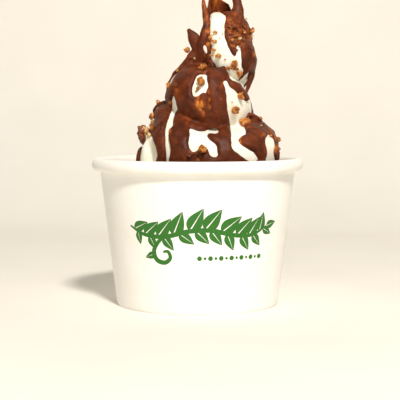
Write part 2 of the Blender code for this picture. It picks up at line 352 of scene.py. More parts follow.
# turn, sideways place of the coil's middle, coil radius, rope radius, height of the rope's middle
STATIONS = np.array((
    (-1.50, 0.0, 31.0, 10.5, 34.5), (-1.25, 0.0, 31.0, 11.0, 35.5), (-1.00, 0.0, 31.0, 11.0, 37.0),
    (-0.75, 0.0, 30.5, 11.0, 39.0), (-0.50, 1.0, 30.0, 11.5, 41.5), (-0.25, 1.5, 29.5, 12.0, 44.5),
    (0.00, 2.0, 27.0, 12.0, 48.0), (0.25, 3.0, 24.0, 12.2, 56.0), (0.50, 3.5, 22.0, 12.5, 62.0),
    (0.75, 4.0, 20.6, 12.6, 69.3), (1.00, 4.0, 18.5, 12.5, 66.8), (1.25, 4.5, 17.0, 12.4, 78.0),
    (1.50, 5.0, 12.5, 12.0, 83.5), (1.75, 5.2, 6.8, 12.9, 88.6), (2.00, 4.0, 8.0, 14.0, 92.6),
    (2.25, 5.5, 6.3, 11.3, 97.5), (2.50, 9.0, 4.0, 11.0, 103.0), (2.75, 11.7, 3.5, 10.5, 109.5),
    (3.00, 13.6, 2.6, 10.7, 113.3), (3.25, 14.8, 1.8, 11.2, 117.0), (3.50, 14.0, 1.5, 10.0, 121.0),
    (3.75, 12.0, 1.0, 7.5, 126.2), (4.00, 10.5, 1.0, 5.4, 131.0), (4.15, 9.5, 0.5, 3.1, 135.5),
    (4.25, 9.0, 0.0, 1.4, 139.0)))


def smooth_through(at, places, values):
    """Values at each place on a smooth curve through the given ones."""
    slopes = np.gradient(values, places)
    k = np.clip(np.searchsorted(places, at, side="right") - 1, 0, len(places) - 2)
    span = places[k + 1] - places[k]
    t = (at - places[k]) / span
    start = (1 + 2 * t) * (1 - t) ** 2 * values[k] + t * (1 - t) ** 2 * span * slopes[k]
    return start + t * t * (3 - 2 * t) * values[k + 1] + t * t * (t - 1) * span * slopes[k + 1]


turns = np.linspace(STATIONS[0, 0], STATIONS[-1, 0], 340)
middle, coil, rope, height = (smooth_through(turns, STATIONS[:, 0], STATIONS[:, k]) for k in range(1, 5))
angle = np.radians(-90 - 360 * turns)
coil_path = np.stack([middle + coil * np.cos(angle), coil * np.sin(angle), height], axis=1)
print("rope length in mm:", round(float(np.linalg.norm(np.diff(coil_path, axis=0), axis=1).sum())))


# %% Geometry Nodes: a round rope along a path
def rope_tree():
    """Sweeps a circle along the mesh's edges. Each point's rope_radius sets how thick it is there."""
    tree = bpy.data.node_groups.new("soft_serve_rope", "GeometryNodeTree")
    sockets = tree.interface
    sockets.new_socket("Path", in_out="INPUT", socket_type="NodeSocketGeometry")
    sides = sockets.new_socket("Sides", in_out="INPUT", socket_type="NodeSocketInt")
    finish = sockets.new_socket("Material", in_out="INPUT", socket_type="NodeSocketMaterial")
    sockets.new_socket("Rope", in_out="OUTPUT", socket_type="NodeSocketGeometry")
    given = add(tree, "NodeGroupInput")
    radius = add(tree, "GeometryNodeInputNamedAttribute", {"Name": "rope_radius"}, data_type="FLOAT")
    path = add(tree, "GeometryNodeMeshToCurve", {"Mesh": given.outputs["Path"]})
    ring = add(tree, "GeometryNodeCurvePrimitiveCircle",
               {"Resolution": given.outputs["Sides"], "Radius": 1.0})
    swept = add(tree, "GeometryNodeCurveToMesh", {
        "Curve": path.outputs["Curve"], "Profile Curve": ring.outputs["Curve"],
        "Scale": radius.outputs["Attribute"], "Fill Caps": True})
    real = add(tree, "GeometryNodeRealizeInstances", {"Geometry": swept.outputs["Mesh"]})
    done = add(tree, "GeometryNodeSetMaterial",
               {"Geometry": real.outputs["Geometry"], "Material": given.outputs["Material"]})
    add(tree, "NodeGroupOutput", {"Rope": done.outputs["Geometry"]})
    return tree, sides.identifier, finish.identifier


ROPE_TREE, ROPE_SIDES, ROPE_MATERIAL = rope_tree()


def rope_along(path, radii, finish, sides=28):
    """A closed rope mesh. The path and its radii are in mm."""
    mesh = bpy.data.meshes.new("path")
    mesh.from_pydata((np.asarray(path, float) * MM).tolist(), [(k, k + 1) for k in range(len(path) - 1)], [])
    give(mesh, "rope_radius", np.asarray(radii, float) * MM)
    obj = put("rope", mesh)
    modifier = obj.modifiers.new("rope", "NODES")
    modifier.node_group = ROPE_TREE
    modifier[ROPE_SIDES] = sides
    modifier[ROPE_MATERIAL] = finish
    return baked(obj)


core_path = [(0.5, 0, 30), (2, 0, 50), (4, 0, 70), (5, 0, 82), (6, 0, 95), (10, 0, 105), (12, 0, 115)]
yogurt_rope = joined([rope_along(coil_path, rope, YOGURT),
                      rope_along(core_path, [22, 22, 17, 10, 6, 4, 2], YOGURT)])
print("swept rope:", len(yogurt_rope.polygons), "faces")

# %% Flat ropes placed as a viewer in front sees them
VIEWER, PLANE = np.array((1.2, -543.8, 86.7)), -15.0
MELTED = 0.35  # what one skin and its smoothing take off a thin blade all round, in mm


def seen_from_front(points):
    """Where a viewer half a metre off sees each point, as (across, height) on a plane through the food."""
    near = (PLANE - VIEWER[1]) / (points[:, 1] - VIEWER[1])
    return VIEWER[[0, 2]] + (points[:, [0, 2]] - VIEWER[[0, 2]]) * near[:, None]


def from_front(places):
    """Points in mm from places given as (across, height) seen from the front, and depth."""
    places = np.array(places, float)
    near = (PLANE - VIEWER[1]) / (places[:, 2] - VIEWER[1])
    out = VIEWER[[0, 2]] + (places[:, :2] - VIEWER[[0, 2]]) / near[:, None]
    return np.column_stack([out[:, 0], places[:, 2], out[:, 1]])


def blade(path, wide, thick, steps=26, sides=18):
    """A flat tapering rope: path, half widths across the view and half thicknesses, in mm."""
    at = np.linspace(0, len(path) - 1, steps)
    places = np.arange(len(path), dtype=float)
    path = from_front(path)
    centres = np.stack([smooth_through(at, places, path[:, k]) for k in range(3)], axis=1)
    wide = smooth_through(at, places, np.array(wide, float)) + MELTED
    thick = smooth_through(at, places, np.array(thick, float)) + MELTED
    along = np.gradient(centres, axis=0)
    along /= np.linalg.norm(along, axis=1)[:, None]
    side = np.cross(along, (0.0, -1.0, 0.0))
    side /= np.linalg.norm(side, axis=1)[:, None]
    front_way = np.cross(side, along)
    turn = 2 * np.pi * np.arange(sides) / sides
    rings = [c + w * np.outer(np.cos(turn), s) + t * np.outer(np.sin(turn), f)
             for c, w, t, s, f in zip(centres, wide, thick, side, front_way)]
    faces = [[r * sides + k, r * sides + (k + 1) % sides, (r + 1) * sides + (k + 1) % sides, (r + 1) * sides + k]
             for r in range(steps - 1) for k in range(sides)]
    faces += [list(range(sides)), list(range((steps - 1) * sides, steps * sides))]
    return mesh_from(np.concatenate(rings), faces)


# %% [markdown]
# The turns of a real rope sink into each other and become one mass with soft creases between the turns.
# A voxel remesh does just that: it throws away everything inside and keeps one skin. In the cup the rope
# is pressed flat against the board, so points that would pass through the wall are drawn back inside it.

# %% One skin, held off the cup's wall
YOGURT_VOXEL = 0.6


def inner_radius(z):
    """Inside of the cup's wall at a height, in mm."""
    return BASE_RADIUS + (NECK_RADIUS - BASE_RADIUS) * z / (CUP_HEIGHT - ROLL_HEIGHT) - BOARD


def kept_in_cup(points, gap):
    """The points drawn inside the cup's wall and off its bottom, where they are below its rim."""
    across = np.hypot(points[:, 0], points[:, 1])
    limit = np.where(points[:, 2] < CUP_HEIGHT + 4, inner_radius(points[:, 2]) - gap, 1e9)
    pull = np.minimum(1, limit / np.maximum(across, 1e-6))[:, None]
    return np.concatenate([points[:, :2] * pull, np.maximum(points[:, 2:], 6.4)], axis=1)


plug_steps = 96
plug_turns = 2 * np.pi * np.arange(plug_steps) / plug_steps
plug_rings = [(inner_radius(6.4) - 0.3, 6.4), (inner_radius(44) - 0.3, 44.0), (30.0, 45.5)]
plug_points = [(r * math.cos(a), r * math.sin(a), z) for r, z in plug_rings for a in plug_turns]
plug_faces = [[r * plug_steps + k, r * plug_steps + (k + 1) % plug_steps,
               (r + 1) * plug_steps + (k + 1) % plug_steps, (r + 1) * plug_steps + k]
              for r in range(2) for k in range(plug_steps)]
plug_faces += [list(range(plug_steps)), list(range(2 * plug_steps, 3 * plug_steps))]
plug = mesh_from(plug_points, plug_faces)

# The last pull, drawn up in one even taper, and the fold that hangs over the rim on the left: as BLADES below.
FOLDS = (
    (((10.2, 112.0, -6.5), (9.5, 118.0, -6.4), (9.0, 123.0, -5.0), (8.8, 127.0, -3.2), (8.9, 129.6, -1.6)),
     (4.2, 4.3, 3.9, 3.5, 2.6), (5.4, 5.2, 4.4, 3.6, 2.6)),
    (((-21.6, 79.0, -9.5), (-21.9, 75.0, -11.5), (-21.9, 71.5, -12.5), (-21.6, 68.5, -12.8),
      (-21.4, 65.5, -12.5), (-21.4, 61.0, -11.5)),
     (1.0, 1.1, 2.3, 3.3, 3.8, 4.0), (1.6, 2.4, 3.2, 3.8, 4.0, 4.0)),
)


def rounded_top(points, start, room):
    """Points above the start height drawn down into the room above it, in mm, which rounds off the last pull."""
    over = np.maximum(points[:, 2] - start, 0)
    return np.column_stack([points[:, :2], np.where(over > 0, start + room * (1 - np.exp(-over / room)), points[:, 2])])


yogurt_mesh = skinned(joined([yogurt_rope, plug] + [blade(*fold) for fold in FOLDS]), YOGURT_VOXEL, smoothing=4)
def steeper_left(points, limit):
    """The left of the lower turns drawn in, so that they rise steeply out of the cup."""
    over = np.maximum(-points[:, 0] - limit - 0.9 * np.maximum(62 - points[:, 2], 0), 0) * (points[:, 2] > 50)
    steep = points[:, 0] + 0.85 * over
    out = np.maximum(-steep - 9.0, 0)
    share = np.interp(points[:, 2], (75.5, 79, 83.5, 86.4, 89, 91.5), (0, 0.68, 0.78, 0.5, 0.06, 0))
    return np.column_stack([steep + share * (out - 11.8 * (1 - np.exp(-out / 11.8))), points[:, 1:]])


in_cup = steeper_left(kept_in_cup(points_of(yogurt_mesh), 0.35), 26.6)
move_to(yogurt_mesh, rounded_top(in_cup, 126.0, 7.5))
smooth_shaded(yogurt_mesh)
print("yogurt:", len(yogurt_mesh.vertices), "vertices")

# %% [markdown]
# ## Chocolate coat
# Melted chocolate poured over something frozen sets in seconds. It runs down, gathers in a thick rounded
# edge, and stops; where it ran apart the white shows. A coat like that is the yogurt's own surface pushed
# outwards, by an amount that falls to nothing at each opening. So this part first says where the openings
# are, as a few outlines seen from one side, and then works out how far each point is from the nearest one.

# %% Openings in the coat: side seen from in degrees (0 front, 90 right), then (across, height) in mm
OPENINGS = (
    (0, ((-23.1, 78.6), (-21.4, 78.4), (-20.4, 77.4), (-19.8, 75.7), (-19, 74), (-18.1, 72.2), (-17.4, 70),
         (-17.2, 68.6), (-17.6, 66.9), (-18.1, 65.7), (-18, 50), (-27.4, 50), (-26.6, 64.9), (-26.2, 66.9),
         (-25.7, 69.1), (-24.9, 71.3), (-23.6, 73.4), (-22.6, 74.4), (-22.8, 76.2))),
    (0, ((-10.5, 95.2), (-9.8, 93.4), (-9.3, 91), (-8.8, 89.3), (-8.7, 88.1), (-9.3, 86.9), (-9.2, 88.1),
         (-9.9, 86.3), (-10.7, 83.7), (-10.9, 81.9), (-10.7, 80.7), (-11.8, 80), (-12.7, 79.6),
         (-12.9, 77.5), (-12.5, 74.4), (-11.9, 72.2), (-11.5, 70.4), (-12, 68.6), (-12.5, 66.4), (-12.9, 50),
         (-14.1, 50), (-13.8, 68.2), (-14.1, 71.3), (-14.3, 75.7), (-14.1, 80.1), (-13.3, 83.2),
         (-12.1, 85.9), (-11.4, 87.8), (-11, 90.5), (-11.2, 92.2), (-11, 93.7))),
    (0, ((-3.6, 80.3), (-2.4, 79.7), (-0.6, 79), (1.6, 78.6), (3.4, 78.7), (5.2, 79.9), (6.9, 80.8),
         (8.7, 80.6), (9.4, 79.5), (9.5, 78), (8.3, 77), (6.5, 77.4), (5.1, 77.8), (4.4, 77), (4.5, 76.1),
         (5.6, 74.8), (7.4, 73.5), (8.5, 72.4), (8.9, 70.4), (8.9, 68.2), (9.1, 67.4), (6.5, 67.3),
         (5.4, 68), (5, 69.5), (4.6, 71.3), (3, 71.5), (1.2, 71.4), (-0.2, 70), (-1.5, 69.3), (-2.8, 70),
         (-3.5, 71.3), (-4.1, 73.7), (-3.7, 75.7), (-3.3, 77.9))),
    (0, ((1, 89.6), (1.8, 89.3), (2.4, 88.1), (2.6, 87.2), (2.1, 86.9), (1.6, 87.7), (1, 88.7))),
    (0, ((1.4, 103.9), (2.9, 103.8), (4.1, 104), (4.5, 103.1), (4.3, 101.6), (4.5, 100.1), (4.8, 98.7),
         (4.5, 97.5), (3.9, 96.9), (4.2, 95.7), (4.7, 94), (5.2, 92.2), (5.6, 90.7), (5.4, 89.8),
         (4.8, 90.2), (4.5, 91.6), (4.1, 93.4), (3.5, 95.2), (2.9, 96.1), (1.8, 95.4), (0.9, 94.6),
         (0, 94.2), (-1.5, 93.9), (-2.2, 95.2), (-2.4, 97.2), (-2.1, 98.7), (-1.5, 100.1), (-0.9, 101.6),
         (-0.1, 103.3))),
    (0, ((12.5, 101.8), (13, 101), (13.4, 100.1), (14.1, 98.8), (15, 97.7), (16.2, 96.9), (17.4, 96),
         (18.6, 94.8), (19.6, 93.5), (20.5, 92.7), (21.4, 91.9), (22.1, 91.9), (22.5, 92.5), (22.5, 93.5),
         (21.9, 94.6), (21, 96), (22.1, 95.5), (23, 94), (23.1, 95.4), (24.8, 93.4), (26.4, 90.6),
         (27.4, 88.0), (27.8, 86.0), (26.2, 84.9), (25.1, 85.7), (23.5, 86.9), (22.3, 86.1), (21.5, 84.3),
         (20.7, 82.4), (20.5, 81.1), (21.3, 79.5), (21.6, 77.9), (21.2, 77), (19.8, 76.5), (18.3, 75.5),
         (18.1, 74.2), (19.4, 72.8), (21.1, 71.5), (22.9, 70.6), (24.5, 69.7), (26, 68.2), (27.3, 66.2),
         (26.7, 65.5), (24, 64.9), (23.4, 65.2), (21.6, 66.2), (19.4, 67.7), (17.2, 69.4), (15.7, 70.5),
         (15, 71.5), (15, 74.4), (15, 77.5), (14.5, 80.1), (14, 84.6), (13.6, 86.3), (13, 90.5),
         (12.6, 95.2), (12.3, 98.1), (11.8, 99), (11.2, 100.1), (11.9, 100.9))),
    (0, ((30.1, 75.3), (31, 77), (31.8, 77.4), (32.7, 76.2), (34, 74.8), (34.5, 72.6), (33.7, 70),
         (34, 67.7), (34.6, 66), (34, 50), (30, 50), (29.6, 66), (30.5, 68.2), (30.7, 70.4), (29.8, 72.6),
         (29.6, 74.2))),
    (0, ((4.8, 130.9), (6.7, 131.4), (8.6, 131.4), (10.1, 131), (11.8, 130), (12.6, 129.2), (12.4, 128.1),
         (12.2, 126.6), (12, 124.7), (12, 122.7), (12.1, 120.8), (12.3, 119.3), (13, 117.4), (13.5, 115.9),
         (14.2, 114.7), (15, 113.3), (16, 112), (16.7, 111.6), (17.3, 112), (17.4, 112.8), (17.2, 113.7),
         (17.1, 115), (17.3, 116.4), (17.9, 117.2), (18.5, 116.7), (19, 115.2), (19.3, 113), (19.4, 110.8),
         (19.5, 109.5), (19.5, 107.5), (20.3, 105.9), (20.3, 104.5), (18.8, 102.6), (18.4, 101.5),
         (18.7, 100.3), (18.3, 99.8), (16.8, 100.1), (15.5, 100.7), (14.3, 101.4), (13.8, 102.8),
         (13.2, 104.2), (12.5, 105.8), (12.7, 106.9), (12.2, 107.5), (10.3, 107.2), (9.4, 106.8),
         (8.5, 106.1), (7.7, 106.4), (8.2, 107.2), (7.9, 108), (6.8, 109.2), (6.3, 110.5), (5.6, 112.1),
         (6, 110.8), (5.9, 113), (6.4, 115), (6.5, 116.2), (6.1, 117.4), (5.8, 118.9), (5.3, 120.8),
         (5.1, 122), (5.0, 123.5), (5.1, 124.7), (5.1, 125.9), (5.2, 127.8), (5.0, 131))),
    (0, ((18.6, 101.1), (20.3, 102.9), (21.8, 104.8), (22.6, 105.6), (22.4, 103.9), (22.1, 101),
         (21.8, 98.7), (21.6, 96.3), (20.9, 96.1), (20, 97.5), (19.2, 98.9), (18.6, 99.8))),
    (90, ((-6, 62), (-7, 71), (-2, 78), (4, 72), (2, 63))),
    (90, ((-3, 86), (-5, 95), (1, 99), (6, 93), (4, 86))),
    (90, ((2, 104), (0, 112), (4, 121), (7, 113), (6, 105))),
    (180, ((20, 40), (21, 66), (16, 77), (12, 73), (13, 62), (12, 40))),
    (180, ((2, 68), (-3, 74), (-11, 72.5), (-12, 66), (-5, 63))),
    (180, ((-20, 40), (-18.5, 68), (-22, 79), (-27, 73), (-26, 40))),
    (180, ((7, 88), (8, 98), (2, 103), (-1, 96), (2, 88))),
    (180, ((-9, 84), (-7, 94), (-13, 99), (-17, 92), (-15, 84))),
    (180, ((-10, 108), (-9, 118), (-13, 126), (-17, 119), (-15, 109))),
    (270, ((4, 40), (2, 66), (-5, 74), (-9, 67), (-6, 40))),
    (270, ((-2, 80), (-4, 88), (2, 91), (7, 86), (4, 79))),
    (270, ((5, 95), (3, 103), (8, 107), (10, 100))),
)
# Places where the chocolate is only a thin layer, and places where its amber paints light, seen from the front: across,
# height, radius in mm, share.
# The spots on the right lobe's rounded lower edge are painted highlights, and the broad spot at 9.0, 136.0 is the
# curl's painted lit side.
FILMS_AND_HIGHLIGHTS = ((-0.6, 96.6, 1.4, 0.9), (-0.1, 94.8, 1.4, 1.0), (0.5, 93.0, 1.5, 1.0), (1.1, 91.2, 1.5, 1.0),
         (1.7, 89.6, 1.4, 1.0), (2.3, 87.8, 1.3, 0.9), (2.8, 86.0, 1.2, 0.7), (4.9, 96.0, 0.9, 0.9), (5.3, 92.6, 1.0, 0.95), (5.4, 89.4, 1.0, 0.6),
         (2.1, 105.6, 1.6, 0.8), (2.6, 135.6, 2.4, 0.62), (3.0, 132.6, 2.4, 0.62), (3.6, 129.6, 2.2, 0.66),
         (4.4, 126.4, 1.8, 0.62), (4.6, 123.0, 1.6, 0.7), (3.2, 119.6, 1.8, 0.4), (4.8, 117.2, 1.6, 0.9),
         (3.2, 112.6, 1.8, 0.7), (13.2, 127.4, 1.8, 0.7), (16.8, 129.8, 2.4, 0.5), (18.0, 120.0, 2.6, 0.3),
         (23.6, 119.5, 1.2, 0.7), (25.2, 113.0, 1.2, 0.7), (24.2, 107.0, 1.4, 0.5), (9.0, 136.0, 4.6, 0.62),
         (16.8, 75.6, 1.8, 0.8), (18.8, 74.2, 1.4, 0.9), (34.8, 71.0, 1.4, 0.9), (33.6, 76.0, 1.6, 0.8),
         (32.2, 78.6, 1.8, 0.6), (-4.4, 83.4, 2.4, 0.4), (-3.6, 67.8, 2.4, 0.45), (-12.2, 78.8, 1.0, 0.9),
         (11.2, 99.6, 1.2, 0.8), (-8.4, 95.0, 2.4, 0.5), (-10.4, 101.0, 1.6, 0.6), (-7.8, 106.6, 1.8, 0.5),
         (23.0, 82.0, 2.0, 0.4), (29.5, 77.0, 1.2, 0.6), (-17.4, 83.0, 1.4, 0.4), (-12.4, 91.0, 1.2, 0.7))
# Broad runs of chocolate that bridge the crease between two turns: (across, height), half width.
RUNS = ((((8.0, 110), (8.4, 100), (8.9, 92), (10.0, 84), (11.9, 79), (12.6, 68), (13.6, 60)), 3.2),
        (((-8.5, 86), (-8.0, 78), (-8.0, 68), (-7.5, 58)), 3.0),
        (((-17.0, 92), (-16.2, 80), (-15.8, 66), (-15.6, 56)), 1.6),
        (((26.0, 84), (26.0, 76), (24.5, 70)), 4.0))
# Places where the chocolate is full of chopped nut, given in the same way.
CRUSTED = ((15.5, 126.5, 3.6, 0.8), (16.8, 121.8, 4.4, 1.0), (19.4, 118.0, 3.6, 0.65), (15.6, 116.4, 2.6, 0.75),
           (21.6, 123.4, 2.6, 0.8), (14.4, 118.6, 2.2, 0.9), (18.8, 127.5, 2.4, 0.6), (2.2, 106.2, 2.6, 0.9),
           (16.0, 107.6, 3.2, 0.6), (-21.5, 82.0, 3.0, 0.7), (-11.5, 99.0, 2.0, 0.6), (21.0, 83.2, 4.0, 0.6),
           (0.6, 68.6, 3.4, 0.6), (-7.0, 112.5, 2.0, 0.6), (31.5, 77.0, 2.0, 0.5))
HEM_HEIGHT, HEM_DRIP, HEM_DRIPS = 56.0, 2.5, 9
EDGE_WIDTH = 1.1  # how far in from an opening the chocolate reaches its full thickness


# %% Distance from the openings
def rounded(outline, times=1):
    """The outline with its corners cut off."""
    outline = np.array(outline, float)
    for _ in range(times):
        after = np.roll(outline, -1, axis=0)
        outline = np.stack([0.75 * outline + 0.25 * after, 0.25 * outline + 0.75 * after], axis=1).reshape(-1, 2)
    return outline


def from_outline(places, outline):
    """Distance outside the outline in mm, negative inside, and how far below the place its nearest edge is."""
    nearest = np.full(len(places), 1e9)
    drop = np.zeros(len(places))
    inside = np.zeros(len(places), bool)
    for a, b in zip(outline, np.roll(outline, -1, axis=0)):
        way = b - a
        t = np.clip((places - a) @ way / max(way @ way, 1e-9), 0, 1)
        offset = places - a - t[:, None] * way
        distance = np.hypot(offset[:, 0], offset[:, 1])
        closer = distance < nearest
        nearest[closer] = distance[closer]
        drop[closer] = offset[closer, 1]
        crosses = (a[1] > places[:, 1]) != (b[1] > places[:, 1])
        at = a[0] + (places[:, 1] - a[1]) * way[0] / (way[1] if way[1] else 1e-9)
        inside ^= crosses & (places[:, 0] < at)
    return np.where(inside, -nearest, nearest), drop


def coat_map(points):
    """For each point in mm: distance from the nearest opening, and how much of it is a lower edge, 0 to 1."""
    reach = np.full(len(points), 30.0)
    lower = np.zeros(len(points))
    shift = 0.12 * np.stack([wobble(points, 2.6, 3), wobble(points, 2.6, 4)], axis=1)
    axis_x = np.interp(points[:, 2], STATIONS[:, 4], STATIONS[:, 1])
    front = seen_from_front(points)
    # How far round to the back an opening seen from the front may run: further where the food turns away evenly.
    behind = np.where(points[:, 0] > 15, 4.0, np.interp(points[:, 2], (70, 75), (4.0, 0.6)))
    behind = behind + 0.9 * wobble(points, 5, 61)
    for side, outline in OPENINGS:
        a = math.radians(side)
        across = points[:, 0] * math.cos(a) + points[:, 1] * math.sin(a)
        depth = (points[:, 0] - axis_x) * math.sin(a) - points[:, 1] * math.cos(a)
        seen = front if side == 0 else np.stack([across, points[:, 2]], axis=1)
        shape = rounded(outline, 1 if side == 0 else 2)
        low, high = shape.min(axis=0) - 6, shape.max(axis=0) + 6
        near = ((seen > low) & (seen < high)).all(axis=1)
        near = np.flatnonzero(near & (depth > -6))
        if not len(near):
            continue
        distance, drop = from_outline(seen[near] + shift[near] * (1 if side == 0 else 3), shape)
        distance = np.maximum(distance, (-behind[near] if side == 0 else 1.0) - depth[near])
        better = distance < reach[near]
        reach[near[better]] = distance[better]
        lower[near[better]] = np.clip(drop[better] / np.maximum(np.abs(distance[better]), 0.2), 0, 1)
    around = np.arctan2(points[:, 1], points[:, 0])
    hem = HEM_HEIGHT + HEM_DRIP * np.cos(HEM_DRIPS * around) + np.sin(2 * around) + 0.5 * wobble(points, 7, 5)
    above = points[:, 2] - hem
    lower = np.where(above < reach, 1.0, lower)
    return np.minimum(reach, above), lower


def share_map(points, spots, seed, tall):
    """How strongly the spots mark each point, 0 to 1. Spots are ragged, and tall times as high as wide."""
    front = seen_from_front(points)
    ragged = np.stack([wobble(points, 4.5, seed), wobble(points, 4.5, seed + 1)], axis=1)
    marked = np.zeros(len(points))
    for across, up, radius, share in spots:
        off = (front - (across, up) + 0.35 * radius * ragged) / (radius, radius * tall)
        marked = np.maximum(marked, share * np.exp(-(off ** 2).sum(axis=1)) * (points[:, 1] < 7))
    return marked


def film_and_highlight_map(points):
    """How thin the coat is at each point, 0 to 1, with the painted highlights and the curl's painted lit side counted
    in.
    """
    back = np.clip((wobble(points, 16, 41) - 0.75) * 2.5, 0, 0.8) * (points[:, 1] > 7)
    streaks = 0.88 + 0.2 * wobble(points * (1.0, 1.0, 0.35), 1.8, 43)
    return np.clip(np.maximum(share_map(points, FILMS_AND_HIGHLIGHTS, 44, 1.5), back) * streaks, 0, 1)


def crust_map(points):
    """How much chopped nut shows through the coat at each point, 0 to 1."""
    back = np.clip((wobble(points, 13, 51) - 0.9) * 2.5, 0, 0.9) * (points[:, 1] > 7) * (points[:, 2] > 70)
    return np.maximum(share_map(points, CRUSTED, 54, 1.0), back)


# %% Chocolate pushed out from the yogurt
def smoothed(mesh, times):
    """A copy of the mesh's points and normals after this many passes of smoothing."""
    obj = put("smooth", mesh.copy())
    step = obj.modifiers.new("smooth", "SMOOTH")
    step.factor = 0.5
    step.iterations = times
    made = baked(obj)
    return points_of(made), normals_of(made)


# On the right the rope sagged into one even slope, so that part is smoothed far more than the rest.
softer_points, _ = smoothed(yogurt_mesh, 170)
yogurt_points = points_of(yogurt_mesh)
seen = seen_from_front(yogurt_points)
sag = np.clip(1 - np.hypot((seen[:, 0] - 20) / 10.5, (seen[:, 1] - 87) / 15) ** 4, 0, 1) * (yogurt_points[:, 1] < 8)
move_to(yogurt_mesh, yogurt_points + (softer_points - yogurt_points) * 0.9 * sag[:, None])
yogurt_points, yogurt_normals = points_of(yogurt_mesh), normals_of(yogurt_mesh)
soft_points, soft_normals = smoothed(yogurt_mesh, 16)
softer_points, _ = smoothed(yogurt_mesh, 170)
reach, lower = coat_map(yogurt_points)
print("covered share of the points above the hem:", round(float((reach > 0)[yogurt_points[:, 2] > 58].mean()), 2))

seen = seen_from_front(yogurt_points)
bridge = np.zeros(len(yogurt_points))
for line, half in RUNS:
    line = np.array(line, float)
    at = np.interp(seen[:, 1], line[::-1, 1], line[::-1, 0])
    inside = (seen[:, 1] > line[:, 1].min()) & (seen[:, 1] < line[:, 1].max()) & (yogurt_points[:, 1] < 2)
    bridge = np.maximum(bridge, inside * np.clip(1.6 - np.abs(seen[:, 0] - at) / half, 0, 1))
fill = bridge * np.clip(((softer_points - soft_points) * soft_normals).sum(axis=1), 0, 3.5)

full = 1.15 + 0.26 * wobble(yogurt_points, 10, 11) + 0.13 * wobble(yogurt_points, 3.6, 12)
full += 0.07 * wobble(yogurt_points, 1.8, 13)
full = (full + 0.55 * lower * np.exp(-np.clip(reach, 0, 9) / 2.5)) * (1 - 0.6 * film_and_highlight_map(yogurt_points))
full += 0.5 * crust_map(yogurt_points) * wobble(yogurt_points, 1.6, 14)
full += 0.35 * bridge
edge = np.clip(reach / EDGE_WIDTH, 0, 1)
thick = np.where(reach > 0, full * np.sqrt(1 - (1 - edge) ** 2), np.maximum(2.2 * reach, -0.9))
blend = np.clip((reach + 0.3) / 1.8, 0, 1)[:, None]
base = yogurt_points + (soft_points - yogurt_points) * blend
outer = base + soft_normals * (thick + fill * blend[:, 0] + 0.2 * blend[:, 0])[:, None]
inner = yogurt_points - yogurt_normals * 0.9

corners = np.empty(len(yogurt_mesh.polygons) * 4, np.int32)
yogurt_mesh.polygons.foreach_get("vertices", corners)
quads = corners.reshape(-1, 4)
kept = quads[(reach[quads] > -0.7).all(axis=1)]
edges = np.concatenate([kept[:, [k, (k + 1) % 4]] for k in range(4)])
have = set(map(tuple, edges.tolist()))
rim = [(a, b) for a, b in edges.tolist() if (b, a) not in have]
count = len(yogurt_points)
walls = [(b, a, a + count, b + count) for a, b in rim]
coat_faces = kept.tolist() + (kept[:, ::-1] + count).tolist() + walls
shell = bpy.data.meshes.new("shell")
shell.from_pydata((np.concatenate([outer, inner]) * MM).tolist(), [], coat_faces)
print("coat shell:", len(coat_faces), "faces")

# %% [markdown]
# At the top the chocolate set while it still hung from the peak, so it stands up in thin blades. Each
# blade is a short flat rope along a few points, and one more remesh melts it into the coat. How thin the coat is
# is then stored on every point, because thin chocolate looks amber, not brown; the same value also holds painted
# highlights and the curl's painted lit side.

# %% Blades at the peak, then one skin
# Each blade: its path as (across, height) seen from the front and its depth, then its half widths across
# the view and its half thicknesses, in mm.
BLADES = (
    (((0.6, 108.8, -4.2), (1.4, 112.4, -5.6), (2.6, 116.0, -7.2), (3.2, 118.9, -7.8), (3.6, 121.9, -7.5), (4.1, 124.2, -6.5), (4.2, 126.3, -6),
      (3.6, 129.6, -5), (3.3, 132.0, -4.5), (2.9, 133.6, -4), (2.6, 136.0, -3.5), (2.4, 137.3, -3)),
     (1.8, 2.3, 2.4, 2.3, 2.1, 1.75, 1.45, 1.2, 1.0, 0.85, 0.5, 0.2),
     (1.4, 1.6, 1.6, 1.6, 1.4, 1.2, 1.0, 0.85, 0.75, 0.65, 0.4, 0.2)),
    (((16.4, 121.5, -3), (17.0, 126, -3), (17.2, 129.5, -3), (17.8, 132, -2.5), (17.7, 134.4, -2),
      (17.3, 137, -1), (17.9, 140, -1)),
     (4.6, 4.2, 3.2, 2.5, 1.8, 1.7, 0.4), (3.2, 2.6, 2.0, 1.5, 1.1, 0.9, 0.25)),
    (((3.4, 110.2, -4), (1.6, 113.8, -5), (-0.3, 117.4, -5.5), (-2.1, 120.6, -5), (-4.2, 123.8, -4)),
     (3.2, 2.8, 2.8, 2.2, 0.3), (2.6, 2.0, 1.3, 0.8, 0.25)),
    (((19.0, 84.2, -7), (22.5, 85.0, -6), (26.0, 83.4, -4.5), (29.0, 80.6, -3)),
     (1.2, 1.8, 1.9, 1.2), (1.2, 1.6, 1.7, 1.2)),
    (((-7.4, 104.2, -3), (-4.4, 107.4, -4), (-2.6, 109.8, -4.5), (-1.4, 112.0, -4.5), (2.0, 114.0, -4.5)),
     (2.4, 2.6, 2.5, 2.4, 2.2), (2.2, 2.4, 2.4, 2.2, 2.0)),
    (((24.4, 106.0, -2), (24.0, 103.2, -3), (23.0, 100.2, -3.5), (22.2, 97.6, -3.5), (21.4, 95.2, -4)),
     (0.9, 1.1, 0.9, 0.6, 0.1), (1.2, 1.2, 1.0, 0.7, 0.2)),
    (((-24.4, 71.9, -9.5), (-25.6, 70.2, -9.5), (-26.1, 67.5, -10), (-26.3, 64.0, -10), (-26.1, 60.0, -10)),
     (0.2, 0.5, 0.7, 0.8, 0.8), (0.5, 1.0, 1.3, 1.4, 1.4)),
)
# A drop of bare yogurt that stands out at the foot of the left blade.
DROP = (((3.1, 116.4, -8.7), (3.4, 115.2, -9.1), (4.0, 113.6, -8.9), (4.8, 112.0, -8.2)),
        (0.1, 0.45, 0.4, 0.05), (0.2, 0.9, 0.9, 0.2))


